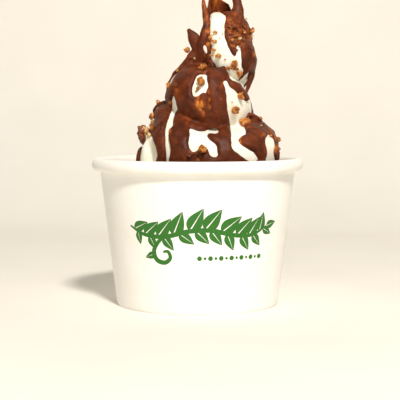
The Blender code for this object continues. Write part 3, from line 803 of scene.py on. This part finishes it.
# The curl: height of its top edge in mm, from its left end round the back to its right end.
CURL_TOP = (133.6, 137.8, 140.3, 140.6, 139.2, 137.4, 136.2, 135.8)
CURL_MIDDLE, CURL_FOOT, CURL_RADIUS, CURL_THICK = (10.4, 0.4), 127.5, (6.4, 5.6, 4.3), 0.8


def curl(steps=48, rows=14):
    """A thin wall of chocolate round the back of the tip, open to the front and drawn in towards its top."""
    at = np.linspace(0, 1, steps)
    top = smooth_through(at * (len(CURL_TOP) - 1), np.arange(len(CURL_TOP), dtype=float), np.array(CURL_TOP))
    angle = np.radians(205 - 200 * at)
    sides = []
    for offset in (CURL_THICK / 2, -CURL_THICK / 2):
        for share in np.linspace(0, 1, rows):
            radius = np.interp(share, (0, 0.5, 1), CURL_RADIUS) + offset * (1 - 0.75 * share ** 3)
            radius = radius + 0.35 * share * np.sin(3.2 * np.pi * at)
            lean = 1.2 * share ** 2
            sides.append(np.stack([CURL_MIDDLE[0] - lean * 0.4 + radius * np.cos(angle),
                                   CURL_MIDDLE[1] - lean + radius * np.sin(angle),
                                   CURL_FOOT + (top - CURL_FOOT) * share], axis=1))
    outer, inner = sides[:rows], sides[rows:][::-1]
    rings = outer + inner
    faces = [[r * steps + k, r * steps + k + 1, (r + 1) % len(rings) * steps + k + 1, (r + 1) % len(rings) * steps + k]
             for r in range(len(rings)) for k in range(steps - 1)]
    faces += [[r * steps + end for r in range(len(rings))] for end in (0, steps - 1)]
    return mesh_from(np.concatenate(rings), faces)


COAT_VOXEL = 0.58
coat_mesh = skinned(joined([shell] + [blade(*b) for b in BLADES]), COAT_VOXEL, smoothing=2)
coat_mesh = joined([coat_mesh, curl()])
# The stored amber value is thin chocolate in most places, and painted highlights and the curl's painted lit side where
# the spot table puts them.
give(coat_mesh, "film_and_highlight", film_and_highlight_map(points_of(coat_mesh)))
give(coat_mesh, "crusted", crust_map(points_of(coat_mesh)))
smooth_shaded(coat_mesh)
coat_mesh.calc_loop_triangles()
print("coat triangles:", len(coat_mesh.loop_triangles))

# %% [markdown]
# ## Finished food pieces
# The yogurt keeps its fine skin where it can be seen. Inside the cup nobody sees it, so that part of the
# mesh is thinned out, which keeps the piece light to handle.

# %% Yogurt piece
def thinned_below(mesh, height, ratio):
    """The mesh with far fewer faces under this height in mm."""
    obj = put("thinned", mesh)
    group = obj.vertex_groups.new(name="hidden")
    hidden = np.flatnonzero(points_of(mesh)[:, 2] < height)
    group.add(hidden.tolist(), 1.0, "REPLACE")
    step = obj.modifiers.new("thin", "DECIMATE")
    step.ratio = ratio
    step.vertex_group = "hidden"
    return baked(obj)


yogurt = put("frozen_yogurt_swirl", joined([thinned_below(yogurt_mesh, 46, 0.6), blade(*DROP)]), YOGURT)
smooth_shaded(yogurt.data)
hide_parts("frozen_yogurt")
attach(yogurt, "root")
yogurt.data.calc_loop_triangles()
print("yogurt triangles:", len(yogurt.data.loop_triangles))

coat = put("set_chocolate_coat", coat_mesh, CHOCOLATE)
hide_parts("chocolate_coat")
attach(coat, "root")

# %% [markdown]
# ## Nut crumbs
# Chopped nuts stirred through boiling sugar set as lumps of every size. They were thrown on while the
# chocolate was wet, so each one sits a little way into it. Each crumb is one point with a size and a turn.
# Geometry Nodes puts a ball on every point and breaks it up: cells make the lumps, noise the rough skin.

# %% Geometry Nodes: crumbs on points
def crumb_tree():
    """A lumpy ball on each point. crumb_size is its half sizes and crumb_turn its rotation."""
    tree = bpy.data.node_groups.new("nut_crumbs", "GeometryNodeTree")
    sockets = tree.interface
    sockets.new_socket("Points", in_out="INPUT", socket_type="NodeSocketGeometry")
    lump = sockets.new_socket("Lump depth", in_out="INPUT", socket_type="NodeSocketFloat")
    cell = sockets.new_socket("Lump scale", in_out="INPUT", socket_type="NodeSocketFloat")
    finish = sockets.new_socket("Material", in_out="INPUT", socket_type="NodeSocketMaterial")
    sockets.new_socket("Crumbs", in_out="OUTPUT", socket_type="NodeSocketGeometry")
    given = add(tree, "NodeGroupInput")
    size = add(tree, "GeometryNodeInputNamedAttribute", {"Name": "crumb_size"}, data_type="FLOAT_VECTOR")
    turn = add(tree, "GeometryNodeInputNamedAttribute", {"Name": "crumb_turn"}, data_type="FLOAT_VECTOR")
    spun = add(tree, "FunctionNodeEulerToRotation", {"Euler": turn.outputs["Attribute"]})
    ball = add(tree, "GeometryNodeMeshIcoSphere", {"Radius": 1.0, "Subdivisions": 3})
    placed = add(tree, "GeometryNodeInstanceOnPoints", {
        "Points": given.outputs["Points"], "Instance": ball.outputs["Mesh"],
        "Rotation": spun.outputs["Rotation"], "Scale": size.outputs["Attribute"]})
    real = add(tree, "GeometryNodeRealizeInstances", {"Geometry": placed.outputs["Instances"]})
    cells = add(tree, "ShaderNodeTexVoronoi", {"Scale": given.outputs["Lump scale"]}, feature="F1")
    rough = add(tree, "ShaderNodeTexNoise", {"Scale": 1800.0, "Detail": 3.0, "Roughness": 0.6})
    mixed = add(tree, "ShaderNodeMath", {0: rough.outputs["Fac"], 1: 0.7, 2: -0.35}, operation="MULTIPLY_ADD")
    lumpy = add(tree, "ShaderNodeMath", {0: mixed.outputs[0], 1: cells.outputs["Distance"]},
                operation="SUBTRACT")
    deep = add(tree, "ShaderNodeMath", {0: lumpy.outputs[0], 1: given.outputs["Lump depth"]},
               operation="MULTIPLY")
    normal = add(tree, "GeometryNodeInputNormal")
    offset = add(tree, "ShaderNodeVectorMath", {0: normal.outputs["Normal"]}, operation="SCALE")
    tree.links.new(deep.outputs[0], offset.inputs["Scale"])
    moved = add(tree, "GeometryNodeSetPosition",
                {"Geometry": real.outputs["Geometry"], "Offset": offset.outputs["Vector"]})
    again = add(tree, "GeometryNodeRealizeInstances", {"Geometry": moved.outputs["Geometry"]})
    done = add(tree, "GeometryNodeSetMaterial",
               {"Geometry": again.outputs["Geometry"], "Material": given.outputs["Material"]})
    add(tree, "NodeGroupOutput", {"Crumbs": done.outputs["Geometry"]})
    return tree, lump.identifier, cell.identifier, finish.identifier


CRUMB_TREE, CRUMB_LUMP, CRUMB_CELL, CRUMB_MATERIAL = crumb_tree()

# %% Where the crumbs sit: across, height, width and height of each as seen from the front, in mm
AMBER_CRUMBS = (
    (8.1, 121.9, 2.2, 1.5), (6.3, 119.9, 1.4, 2.7), (7.8, 118.1, 2.7, 1.7), (7.4, 114.4, 2.5, 1.5),
    (9.6, 112, 2.7, 2.2), (16.4, 109.4, 2.5, 2.0), (16.9, 120.3, 2.2, 1.5), (23.5, 122.6, 2.1, 2.5),
    (-3.9, 113.9, 2.7, 2.7), (20.5, 121.8, 1.7, 1.5), (16.2, 108.6, 3.2, 2.4), (14.1, 107.2, 3.8, 1.6),
    (18.3, 104.8, 2.8, 2.7), (16.8, 106.4, 2.7, 1.8), (2.4, 105.9, 3.5, 2.4), (1.9, 99.7, 3.4, 3.5),
    (0.4, 97.2, 1.8, 1.8), (18.1, 94, 2.7, 3.2), (15.9, 88.4, 3.1, 3.8), (-11.9, 98.7, 1.8, 2.7),
    (-21.2, 85.1, 3.0, 3.0), (-19.6, 80.1, 1.8, 2.7), (2.5, 70.2, 4.2, 3.1), (20, 82.8, 4.7, 3.8),
    (18.9, 83.7, 2.2, 1.8), (32, 76.4, 1.6, 1.3), (21.8, 120.0, 1.5, 1.3), (15.6, 118.6, 1.6, 1.3),
    (27.4, 84.2, 2.2, 1.8), (-24.4, 80.8, 1.6, 1.6), (-8.6, 105.4, 1.6, 1.4))
DARK_CRUMBS = (
    (20.5, 124.4, 1.5, 1.2), (16, 117.6, 1.5, 1.5), (23.3, 115.2, 1.5, 1.2), (12.4, 110.5, 1.2, 0.7),
    (16, 125.2, 2.2, 2.0), (-2.6, 111.1, 1.5, 1.2), (6.2, 119.3, 1.0, 1.5), (-0.4, 96.3, 1.0, 1.3),
    (14.2, 124.4, 1.4, 1.2), (18.0, 122.4, 1.6, 1.3), (19.8, 118.8, 1.3, 1.2), (17.4, 114.4, 1.3, 1.2),
    (16.6, 127.0, 1.4, 1.2), (19.4, 125.4, 1.4, 1.2), (14.6, 121.4, 1.3, 1.2), (19.0, 116.4, 1.4, 1.2),
    (-24.2, 77.9, 3.6, 4.4), (-24.1, 75.3, 2.8, 3.0), (23.6, 85.6, 2.2, 1.7), (29.2, 81.6, 1.6, 1.3),
    (-3.3, 68.2, 3.1, 1.8))
PALE_CRUMBS = (
    (6.8, 112.4, 1.8, 1.6), (18.4, 118.9, 1.7, 1.6), (24.5, 120.8, 1.0, 1.5), (-1.4, 110.8, 1.0, 1.2),
    (21.3, 128, 1.2, 1.2), (9.6, 119.6, 1.0, 0.5), (10.8, 121.5, 0.6, 0.6), (15.2, 91.5, 1.0, 1.0),
    (17.1, 100.9, 0.6, 0.5), (-22.1, 79.5, 3.2, 3.5), (-20.8, 76.4, 2.0, 2.4), (-20.3, 83.8, 1.6, 2.0),
    (28.2, 80.8, 1.1, 1.1))
SUNK = 0.18  # share of a crumb's depth that is in the chocolate
GRAINS = 5  # grains that stand out on each crumb
CRUMB_SCALE = 1.3  # the listed sizes are of what shows above the chocolate

coat_tree = BVHTree.FromPolygons(
    (points_of(coat_mesh) * MM).tolist(), [tuple(p.vertices) for p in coat_mesh.polygons])
yogurt_tree = BVHTree.FromPolygons((yogurt_points * MM).tolist(), quads.tolist())


def food_at(across, up):
    """Place and outward direction on the food, where the viewer's line of sight meets it, in metres.

    Where the line misses the food, the crumb hangs on the outline, up to 0.3 mm out from it."""
    way = (np.array((across, PLANE, up)) - VIEWER) * MM
    start = Vector(VIEWER * MM)
    hits = [tree.ray_cast(start, Vector(way).normalized()) for tree in (coat_tree, yogurt_tree)]
    hits = [hit for hit in hits if hit[0] is not None]
    if hits:
        return min(hits, key=lambda hit: hit[3])[:2]
    aim = Vector(from_front([(across, up, -4)])[0] * MM)
    place, out = coat_tree.find_nearest(aim)[:2]
    away = aim - place
    return place + away * min(0.5, 0.3 * MM / max(away.length, 1e-9)), out


def crumbs_at(listed, seed, scattered):
    """Points, half sizes and turns: the listed crumbs, then more of them round the sides and back."""
    rng = np.random.default_rng(seed)
    places, sizes, turns = [], [], []

    def lump(centre, half, out):
        """One crumb: a body, and grains that stick out of it on the side away from the food."""
        places.append(centre)
        sizes.append(half * 0.88)
        turns.append(rng.uniform(-0.4, 0.4, 3))
        for _ in range(GRAINS):
            way = rng.normal(size=3) + out * 0.8
            way /= np.linalg.norm(way)
            places.append(centre + way * half * 0.72)
            sizes.append(half.mean() * rng.uniform(0.3, 0.55) * rng.uniform(0.7, 1.3, 3))
            turns.append(rng.uniform(-3.1, 3.1, 3))

    for across, up, wide, tall in listed:
        at, out = food_at(across, up)
        half = np.array((wide, 0.5 * (wide + tall), tall)) / 2 * CRUMB_SCALE
        lump(np.array(at) / MM + np.array(out) * half[1] * (1 - 2 * SUNK), half, np.array(out))
    faces = coat_mesh.polygons
    while scattered:
        face = faces[int(rng.integers(len(faces)))]
        spot, out = np.array(face.center) / MM, np.array(face.normal)
        upright = out[2] > -0.25 and np.linalg.norm(spot[:2] - np.array((6, 0))) > 4
        if spot[1] < 8 or spot[2] < 64 or spot[2] > 132 or not upright or rng.random() > 0.35 + (spot[2] - 60) / 90:
            continue
        half = rng.uniform(0.5, 1.0) ** 1.3 * rng.uniform(0.75, 1.25, 3) * 1.9
        lump(spot + out * half.mean() * (1 - 2 * SUNK), half, out)
        scattered -= 1
    return np.array(places), np.array(sizes), np.array(turns)


def crumbs(name, listed, seed, scattered, finish):
    places, sizes, turns = crumbs_at(listed, seed, scattered)
    mesh = bpy.data.meshes.new("points")
    mesh.from_pydata((places * MM).tolist(), [], [])
    for attribute, values in (("crumb_size", sizes * MM), ("crumb_turn", turns)):
        mesh.attributes.new(attribute, "FLOAT_VECTOR", "POINT").data.foreach_set(
            "vector", values.astype(np.float32).ravel())
    obj = put("points", mesh)
    modifier = obj.modifiers.new("crumbs", "NODES")
    modifier.node_group = CRUMB_TREE
    modifier[CRUMB_LUMP] = 0.0006
    modifier[CRUMB_CELL] = 1300.0
    modifier[CRUMB_MATERIAL] = finish
    made = put(name, baked(obj), finish)
    smooth_shaded(made.data)
    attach(made, "root")
    print(name, len(places), "balls,", len(made.data.polygons), "faces")
    return made


crumbs("nut_crumbs_amber", AMBER_CRUMBS, 21, 34, NUT_AMBER)
crumbs("nut_crumbs_dark", DARK_CRUMBS, 22, 18, NUT_DARK)
crumbs("nut_crumbs_pale", PALE_CRUMBS, 23, 10, NUT_PALE)

# %% [markdown]
# ## Cup
# A paper cup's wall is a fan-shaped blank, wrapped round a cone and heat-sealed where its ends overlap.
# The overlap is a straight seam up the back, and it shows as a strip that stands a board's thickness
# proud. Then the top is curled outwards into a bead, and the foot folded in to grip the bottom disc.

# %% Cup wall
WALL_STEPS, ROLL_FINE, SEAM_WIDTH, SEAM_STEP, SEAM_EDGE = 180, 28, 6.0, 0.28, 0.22
FOLD_HEIGHT, FLANGE, CLEARANCE, ROLL_START = 5.2, 0.4, 0.3, -67.5


def wall_profile():
    """(radius, height, share of the seam's step) round the wall's section, in mm."""
    slope = (NECK_RADIUS - BASE_RADIUS) / (CUP_HEIGHT - ROLL_HEIGHT)
    fold_out = BASE_RADIUS - BOARD - CLEARANCE - FLANGE - CLEARANCE
    fold_top = fold_out + slope * (FOLD_HEIGHT - BOARD)
    low = CUP_HEIGHT - ROLL_HEIGHT
    half_wide, half_high = ROLL_WIDTH / 2, ROLL_HEIGHT / 2
    rows = [(BASE_RADIUS - 0.25, 0.0, 1), (BASE_RADIUS, 0.25, 1)]
    rows += [(BASE_RADIUS + slope * z, z, 1) for z in np.linspace(2, low - 1.4, 24)]
    rows += [(NECK_RADIUS - 0.1, low - 0.5, 0.8), (NECK_RADIUS + 0.25, low, 0.4)]
    for k in range(ROLL_FINE + 1):
        turn = math.radians(ROLL_START + (180 - ROLL_START) * k / ROLL_FINE)
        rows.append((RIM_RADIUS - half_wide + half_wide * math.cos(turn),
                     CUP_HEIGHT - half_high + half_high * math.sin(turn), -0.5))
    rows += [(inner_radius(z), z, 0) for z in np.linspace(low, BOARD, 12)]
    rows += [(fold_out, BOARD, 0), (fold_top, FOLD_HEIGHT, 0), (fold_top - BOARD, FOLD_HEIGHT, 0),
             (fold_out - BOARD, 0.0, 0)]
    return rows


def wall_mesh():
    rows = wall_profile()
    half, soft = SEAM_WIDTH / 2 / NECK_RADIUS, SEAM_EDGE / NECK_RADIUS
    seam = [s * (half + d * soft) for s in (-1, 1) for d in (-4, -1, 0, 1, 4)]
    around = sorted(set(np.round(np.concatenate([np.linspace(-np.pi, np.pi, WALL_STEPS + 1)[:-1], seam]), 6)))
    points = []
    for radius, height, share in rows:
        for a in around:
            off = (half + soft - abs(a)) / soft
            raised = min(max(off, 0), 1) if share >= 0 else math.exp(-((abs(a) - half) / soft / 1.6) ** 2)
            r = radius + (SEAM_STEP if share >= 0 else 0.22) * share * raised
            points.append((r * math.sin(a), r * math.cos(a), height))
    n, m = len(around), len(rows)
    faces = [[i * n + k, i * n + (k + 1) % n, (i + 1) % m * n + (k + 1) % n, (i + 1) % m * n + k]
             for i in range(m) for k in range(n)]
    return mesh_from(points, faces)


cup = put("paper_cup_wall", wall_mesh(), BOARD_WHITE)
smooth_shaded(cup.data)
cup.data.set_sharp_from_angle(angle=math.radians(50))
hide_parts("cup_wall")
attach(cup, "root")
bottom = nodes["cup_bottom"]
print("cup wall:", len(cup.data.polygons), "faces; carried over:", bottom)

# %% [markdown]
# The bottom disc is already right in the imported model, so it stays and only takes the board's material.

# %% Bottom disc
for slot in bottom.material_slots:
    slot.material = BOARD_WHITE

# %% [markdown]
# ## Printed ornament
# One colour is printed on the blank before it is wrapped. The ornament is laid out flat, the way an artist
# would draw it, as a leafy sprig over a row of dots, and each flat point is then carried round the cone.
# Ink has next to no height, so the print is a slab 0.05 mm proud of the board.

# %% Flat ornament: leaves on a stem
INK_PROUD, INK_SUNK = 0.04, 0.15


def slab(rows):
    """A closed flat slab from rows of points (across, up), one row after another, in mm."""
    n, m = len(rows[0]), len(rows)
    flat = np.array(rows, float).reshape(-1, 2)
    points = np.concatenate([np.column_stack([flat[:, 0], np.full(len(flat), level), flat[:, 1]])
                             for level in (-INK_PROUD, INK_SUNK)])
    faces = []
    for i in range(m - 1):
        for k in range(n - 1):
            a, b, c, d = i * n + k, i * n + k + 1, (i + 1) * n + k + 1, (i + 1) * n + k
            faces += [(a, b, c, d), tuple(v + m * n for v in (d, c, b, a))]
    edge = [k for k in range(n)] + [i * n + n - 1 for i in range(1, m)]
    edge += [(m - 1) * n + k for k in range(n - 2, -1, -1)] + [i * n for i in range(m - 2, 0, -1)]
    for a, b in zip(edge, edge[1:] + edge[:1]):
        faces.append((a, a + m * n, b + m * n, b))
    return mesh_from(points, faces)


def ribbon(path, widths, steps=60):
    """A flat stroke along a path, with its width at each of the path's points."""
    path, places = np.array(path, float), np.arange(len(path), dtype=float)
    at = np.linspace(0, len(path) - 1, steps)
    line = np.stack([smooth_through(at, places, path[:, k]) for k in range(2)], axis=1)
    half = smooth_through(at, places, np.array(widths, float))[:, None] / 2
    way = np.gradient(line, axis=0)
    way /= np.linalg.norm(way, axis=1)[:, None]
    side = np.stack([-way[:, 1], way[:, 0]], axis=1) * half
    return slab([line - side, line, line + side]), line, way


def half_leaf(side):
    """Half a leaf, 1 long along x from its foot, on one side of its midrib."""
    t = np.linspace(0.0, 1.0, 15)
    bow = 0.5 * np.sin(np.pi * t ** 0.75) ** 0.85 * (1 - 0.35 * t)
    inner_edge = 0.035 * (1 - t) + 0.004
    rows = [np.stack([t, side * (inner_edge + (np.maximum(bow, inner_edge + 0.004) - inner_edge) * s)], axis=1)
            for s in (0.0, 0.33, 0.66, 1.0)]
    return np.array(rows)


LEAF_LONG, LEAF_WIDE = 10.4, 7.0
leaf_flat = joined([slab(half_leaf(side) * (LEAF_LONG, LEAF_WIDE)) for side in (1, -1)])
leaf_object = put("leaf", leaf_flat, INK)
leaf_object.hide_render = True


# %% Geometry Nodes: one leaf on each bud
def sprig_tree():
    """Puts the leaf on every bud, turned and sized by the bud's own attributes."""
    tree = bpy.data.node_groups.new("leaf_sprig", "GeometryNodeTree")
    sockets = tree.interface
    sockets.new_socket("Buds", in_out="INPUT", socket_type="NodeSocketGeometry")
    leaf = sockets.new_socket("Leaf", in_out="INPUT", socket_type="NodeSocketObject")
    finish = sockets.new_socket("Material", in_out="INPUT", socket_type="NodeSocketMaterial")
    sockets.new_socket("Sprig", in_out="OUTPUT", socket_type="NodeSocketGeometry")
    given = add(tree, "NodeGroupInput")
    size = add(tree, "GeometryNodeInputNamedAttribute", {"Name": "leaf_size"}, data_type="FLOAT")
    turn = add(tree, "GeometryNodeInputNamedAttribute", {"Name": "leaf_turn"}, data_type="FLOAT")
    angles = add(tree, "ShaderNodeCombineXYZ", {"Y": turn.outputs["Attribute"]})
    spun = add(tree, "FunctionNodeEulerToRotation", {"Euler": angles.outputs["Vector"]})
    flat = add(tree, "ShaderNodeCombineXYZ",
               {"X": size.outputs["Attribute"], "Y": 1.0, "Z": size.outputs["Attribute"]})
    shape = add(tree, "GeometryNodeObjectInfo", {"Object": given.outputs["Leaf"]})
    placed = add(tree, "GeometryNodeInstanceOnPoints", {
        "Points": given.outputs["Buds"], "Instance": shape.outputs["Geometry"],
        "Rotation": spun.outputs["Rotation"], "Scale": flat.outputs["Vector"]})
    real = add(tree, "GeometryNodeRealizeInstances", {"Geometry": placed.outputs["Instances"]})
    done = add(tree, "GeometryNodeSetMaterial",
               {"Geometry": real.outputs["Geometry"], "Material": given.outputs["Material"]})
    add(tree, "NodeGroupOutput", {"Sprig": done.outputs["Geometry"]})
    return tree, leaf.identifier, finish.identifier


SPRIG_TREE, SPRIG_LEAF, SPRIG_MATERIAL = sprig_tree()


def leaves(buds):
    """Leaves at buds given as (across, up, direction in degrees, size)."""
    buds = np.array(buds, float)
    mesh = bpy.data.meshes.new("buds")
    mesh.from_pydata([(x * MM, 0, z * MM) for x, z in buds[:, :2]], [], [])
    give(mesh, "leaf_turn", -np.radians(buds[:, 2]))
    give(mesh, "leaf_size", buds[:, 3])
    obj = put("buds", mesh)
    modifier = obj.modifiers.new("sprig", "NODES")
    modifier.node_group = SPRIG_TREE
    modifier[SPRIG_LEAF] = leaf_object
    modifier[SPRIG_MATERIAL] = INK
    return baked(obj)


# %% The sprig, its tendril and the dots, carried round the cone
STEM = ((-31.5, 38.2), (-24.0, 34.8), (-14.0, 34.2), (-4.0, 36.6), (6.0, 37.0), (16.0, 34.8), (25.0, 34.6),
        (33.0, 38.0))
stem, stem_line, stem_way = ribbon(STEM, (0.8, 1.6, 2.0, 2.0, 2.0, 1.9, 1.5, 0.6), 110)
TENDRIL = ((-14.5, 34.3), (-17.5, 31.5), (-19.6, 27.8), (-18.4, 24.0), (-14.6, 22.9), (-12.0, 25.0), (-12.9, 27.7),
        (-15.2, 27.6))
tendril, _, _ = ribbon(TENDRIL, (1.4, 1.7, 2.0, 2.1, 1.9, 1.7, 1.4, 0.9), 80)
buds = []
for k, share in enumerate(np.linspace(0.05, 0.93, 10)):
    spot = int(share * (len(stem_line) - 1))
    lean = math.degrees(math.atan2(stem_way[spot, 1], stem_way[spot, 0]))
    size = 0.72 + 0.38 * math.sin(math.pi * share)
    for side in (1, -1):
        at = stem_line[min(spot + (4 if side < 0 else 0), len(stem_line) - 1)]
        buds.append((*at, lean + side * 52, size * (1.0 if side > 0 else 0.72)))
buds.append((*stem_line[-1], 15, 0.6))
buds.append((-19.3, 26.5, 200, 0.5))
dots = []
for k, x in enumerate(np.linspace(1.0, 30.0, 13)):
    wide = 0.6 if k % 2 else 1.05
    ring = np.linspace(0, 2 * np.pi, 17)[:-1]
    rows = [[(x + wide * s * math.cos(a), 24.9 + wide * s * math.sin(a)) for a in (*ring, 2 * np.pi)]
            for s in (0.02, 1.0)]
    dots.append(rows)


def round_cone(mesh):
    """Carries a flat print (across, depth, up) round the cup's wall."""
    flat = points_of(mesh)
    slope = (NECK_RADIUS - BASE_RADIUS) / (CUP_HEIGHT - ROLL_HEIGHT)
    wall = BASE_RADIUS + slope * flat[:, 2] - flat[:, 1]
    a = flat[:, 0] / (BASE_RADIUS + slope * 34.0)
    move_to(mesh, np.stack([wall * np.sin(a), -wall * np.cos(a), flat[:, 2]], axis=1))
    return mesh


def dot(rows):
    """A closed round dot: a disc of thin wedges, with a side wall."""
    ring = np.array(rows[1][:-1])
    centre = ring.mean(axis=0)
    n = len(ring)
    points, faces = [], []
    for level in (-INK_PROUD, INK_SUNK):
        points += [(x, level, z) for x, z in ring] + [(centre[0], level, centre[1])]
    for k in range(n):
        following = (k + 1) % n
        faces += [(k, following, n), (n + 1 + following, n + 1 + k, 2 * n + 1)]
        faces.append((k, n + 1 + k, n + 1 + following, following))
    return mesh_from(points, faces)


print_mesh = round_cone(joined([stem, tendril, leaves(buds)] + [dot(rows) for rows in dots]))
bpy.data.objects.remove(leaf_object)
ornament = put("printed_leaf_sprig", print_mesh, INK)
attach(ornament, "root")
print("print:", len(ornament.data.polygons), "faces")

# %% [markdown]
# ## Floor, camera and lights
# The floor is one pale sheet that curves up behind, like a studio paper roll. The camera is level with the
# middle of the swirl and looks a little down into the cup. A strong warm key comes from the front, above
# and to the right, as sunlight through a window would.

# %% Floor
def floor_mesh():
    flat_to, rise, bend = 0.30, 0.9, 0.16
    line = [(-1.2, 0.0), (flat_to, 0.0)]
    line += [(flat_to + bend * math.sin(a), bend * (1 - math.cos(a))) for a in np.linspace(0.05, math.pi / 2, 24)]
    line.append((flat_to + bend, rise))
    wide = np.linspace(-1.6, 1.6, 9)
    points = [(x * 1000, y * 1000, z * 1000 - 0.02) for y, z in line for x in wide]
    n = len(wide)
    faces = [(i * n + k, i * n + k + 1, (i + 1) * n + k + 1, (i + 1) * n + k)
             for i in range(len(line) - 1) for k in range(n - 1)]
    mesh = bpy.data.meshes.new("floor")
    mesh.from_pydata([(x * MM, y * MM, z * MM) for x, y, z in points], [], faces)
    return mesh


def floor_paper():
    made, tree, shader = new_material("floor_paper")
    tree.links.new(ramp(tree, noise(tree, 60, detail=2), (0.3, "#efece4"), (0.7, "#f3f0e8")),
                   shader.inputs["Base Color"])
    shader.inputs["Roughness"].default_value = 0.75
    return made


floor = put("floor", floor_mesh(), floor_paper())
smooth_shaded(floor.data)

# %% Camera and lights
camera = bpy.data.objects.new("camera", bpy.data.cameras.new("camera"))
camera.location = (0.00118, -0.5438, 0.0867)
camera.rotation_euler = (math.radians(90 - 4.168), 0, 0)
camera.data.lens = 107.24
camera.data.sensor_width = 36
bpy.context.scene.collection.objects.link(camera)
bpy.context.scene.camera = camera


def lamp(name, place, target, size, watts, code):
    """A square area light, aimed at a point."""
    data = bpy.data.lights.new(name, "AREA")
    data.size, data.energy = size, watts
    data.color = linear(code)[:3]
    made = bpy.data.objects.new(name, data)
    made.location = place
    made.rotation_euler = (Vector(target) - Vector(place)).to_track_quat("-Z", "Y").to_euler()
    bpy.context.scene.collection.objects.link(made)
    return made


lamp("key", (0.19, -0.86, 0.89), (0.0, 0.0, 0.06), 0.15, 15.6, "#fff8ef")
lamp("fill", (-0.25, -1.0, 0.22), (0.0, 0.0, 0.07), 0.6, 1.8, "#fff8ee")
world = bpy.data.worlds.new("studio")
world.use_nodes = True
world.node_tree.nodes["Background"].inputs["Color"].default_value = linear("#ebe8e1")
world.node_tree.nodes["Background"].inputs["Strength"].default_value = 0.26
bpy.context.scene.world = world
bpy.context.scene.view_settings.view_transform = "Standard"
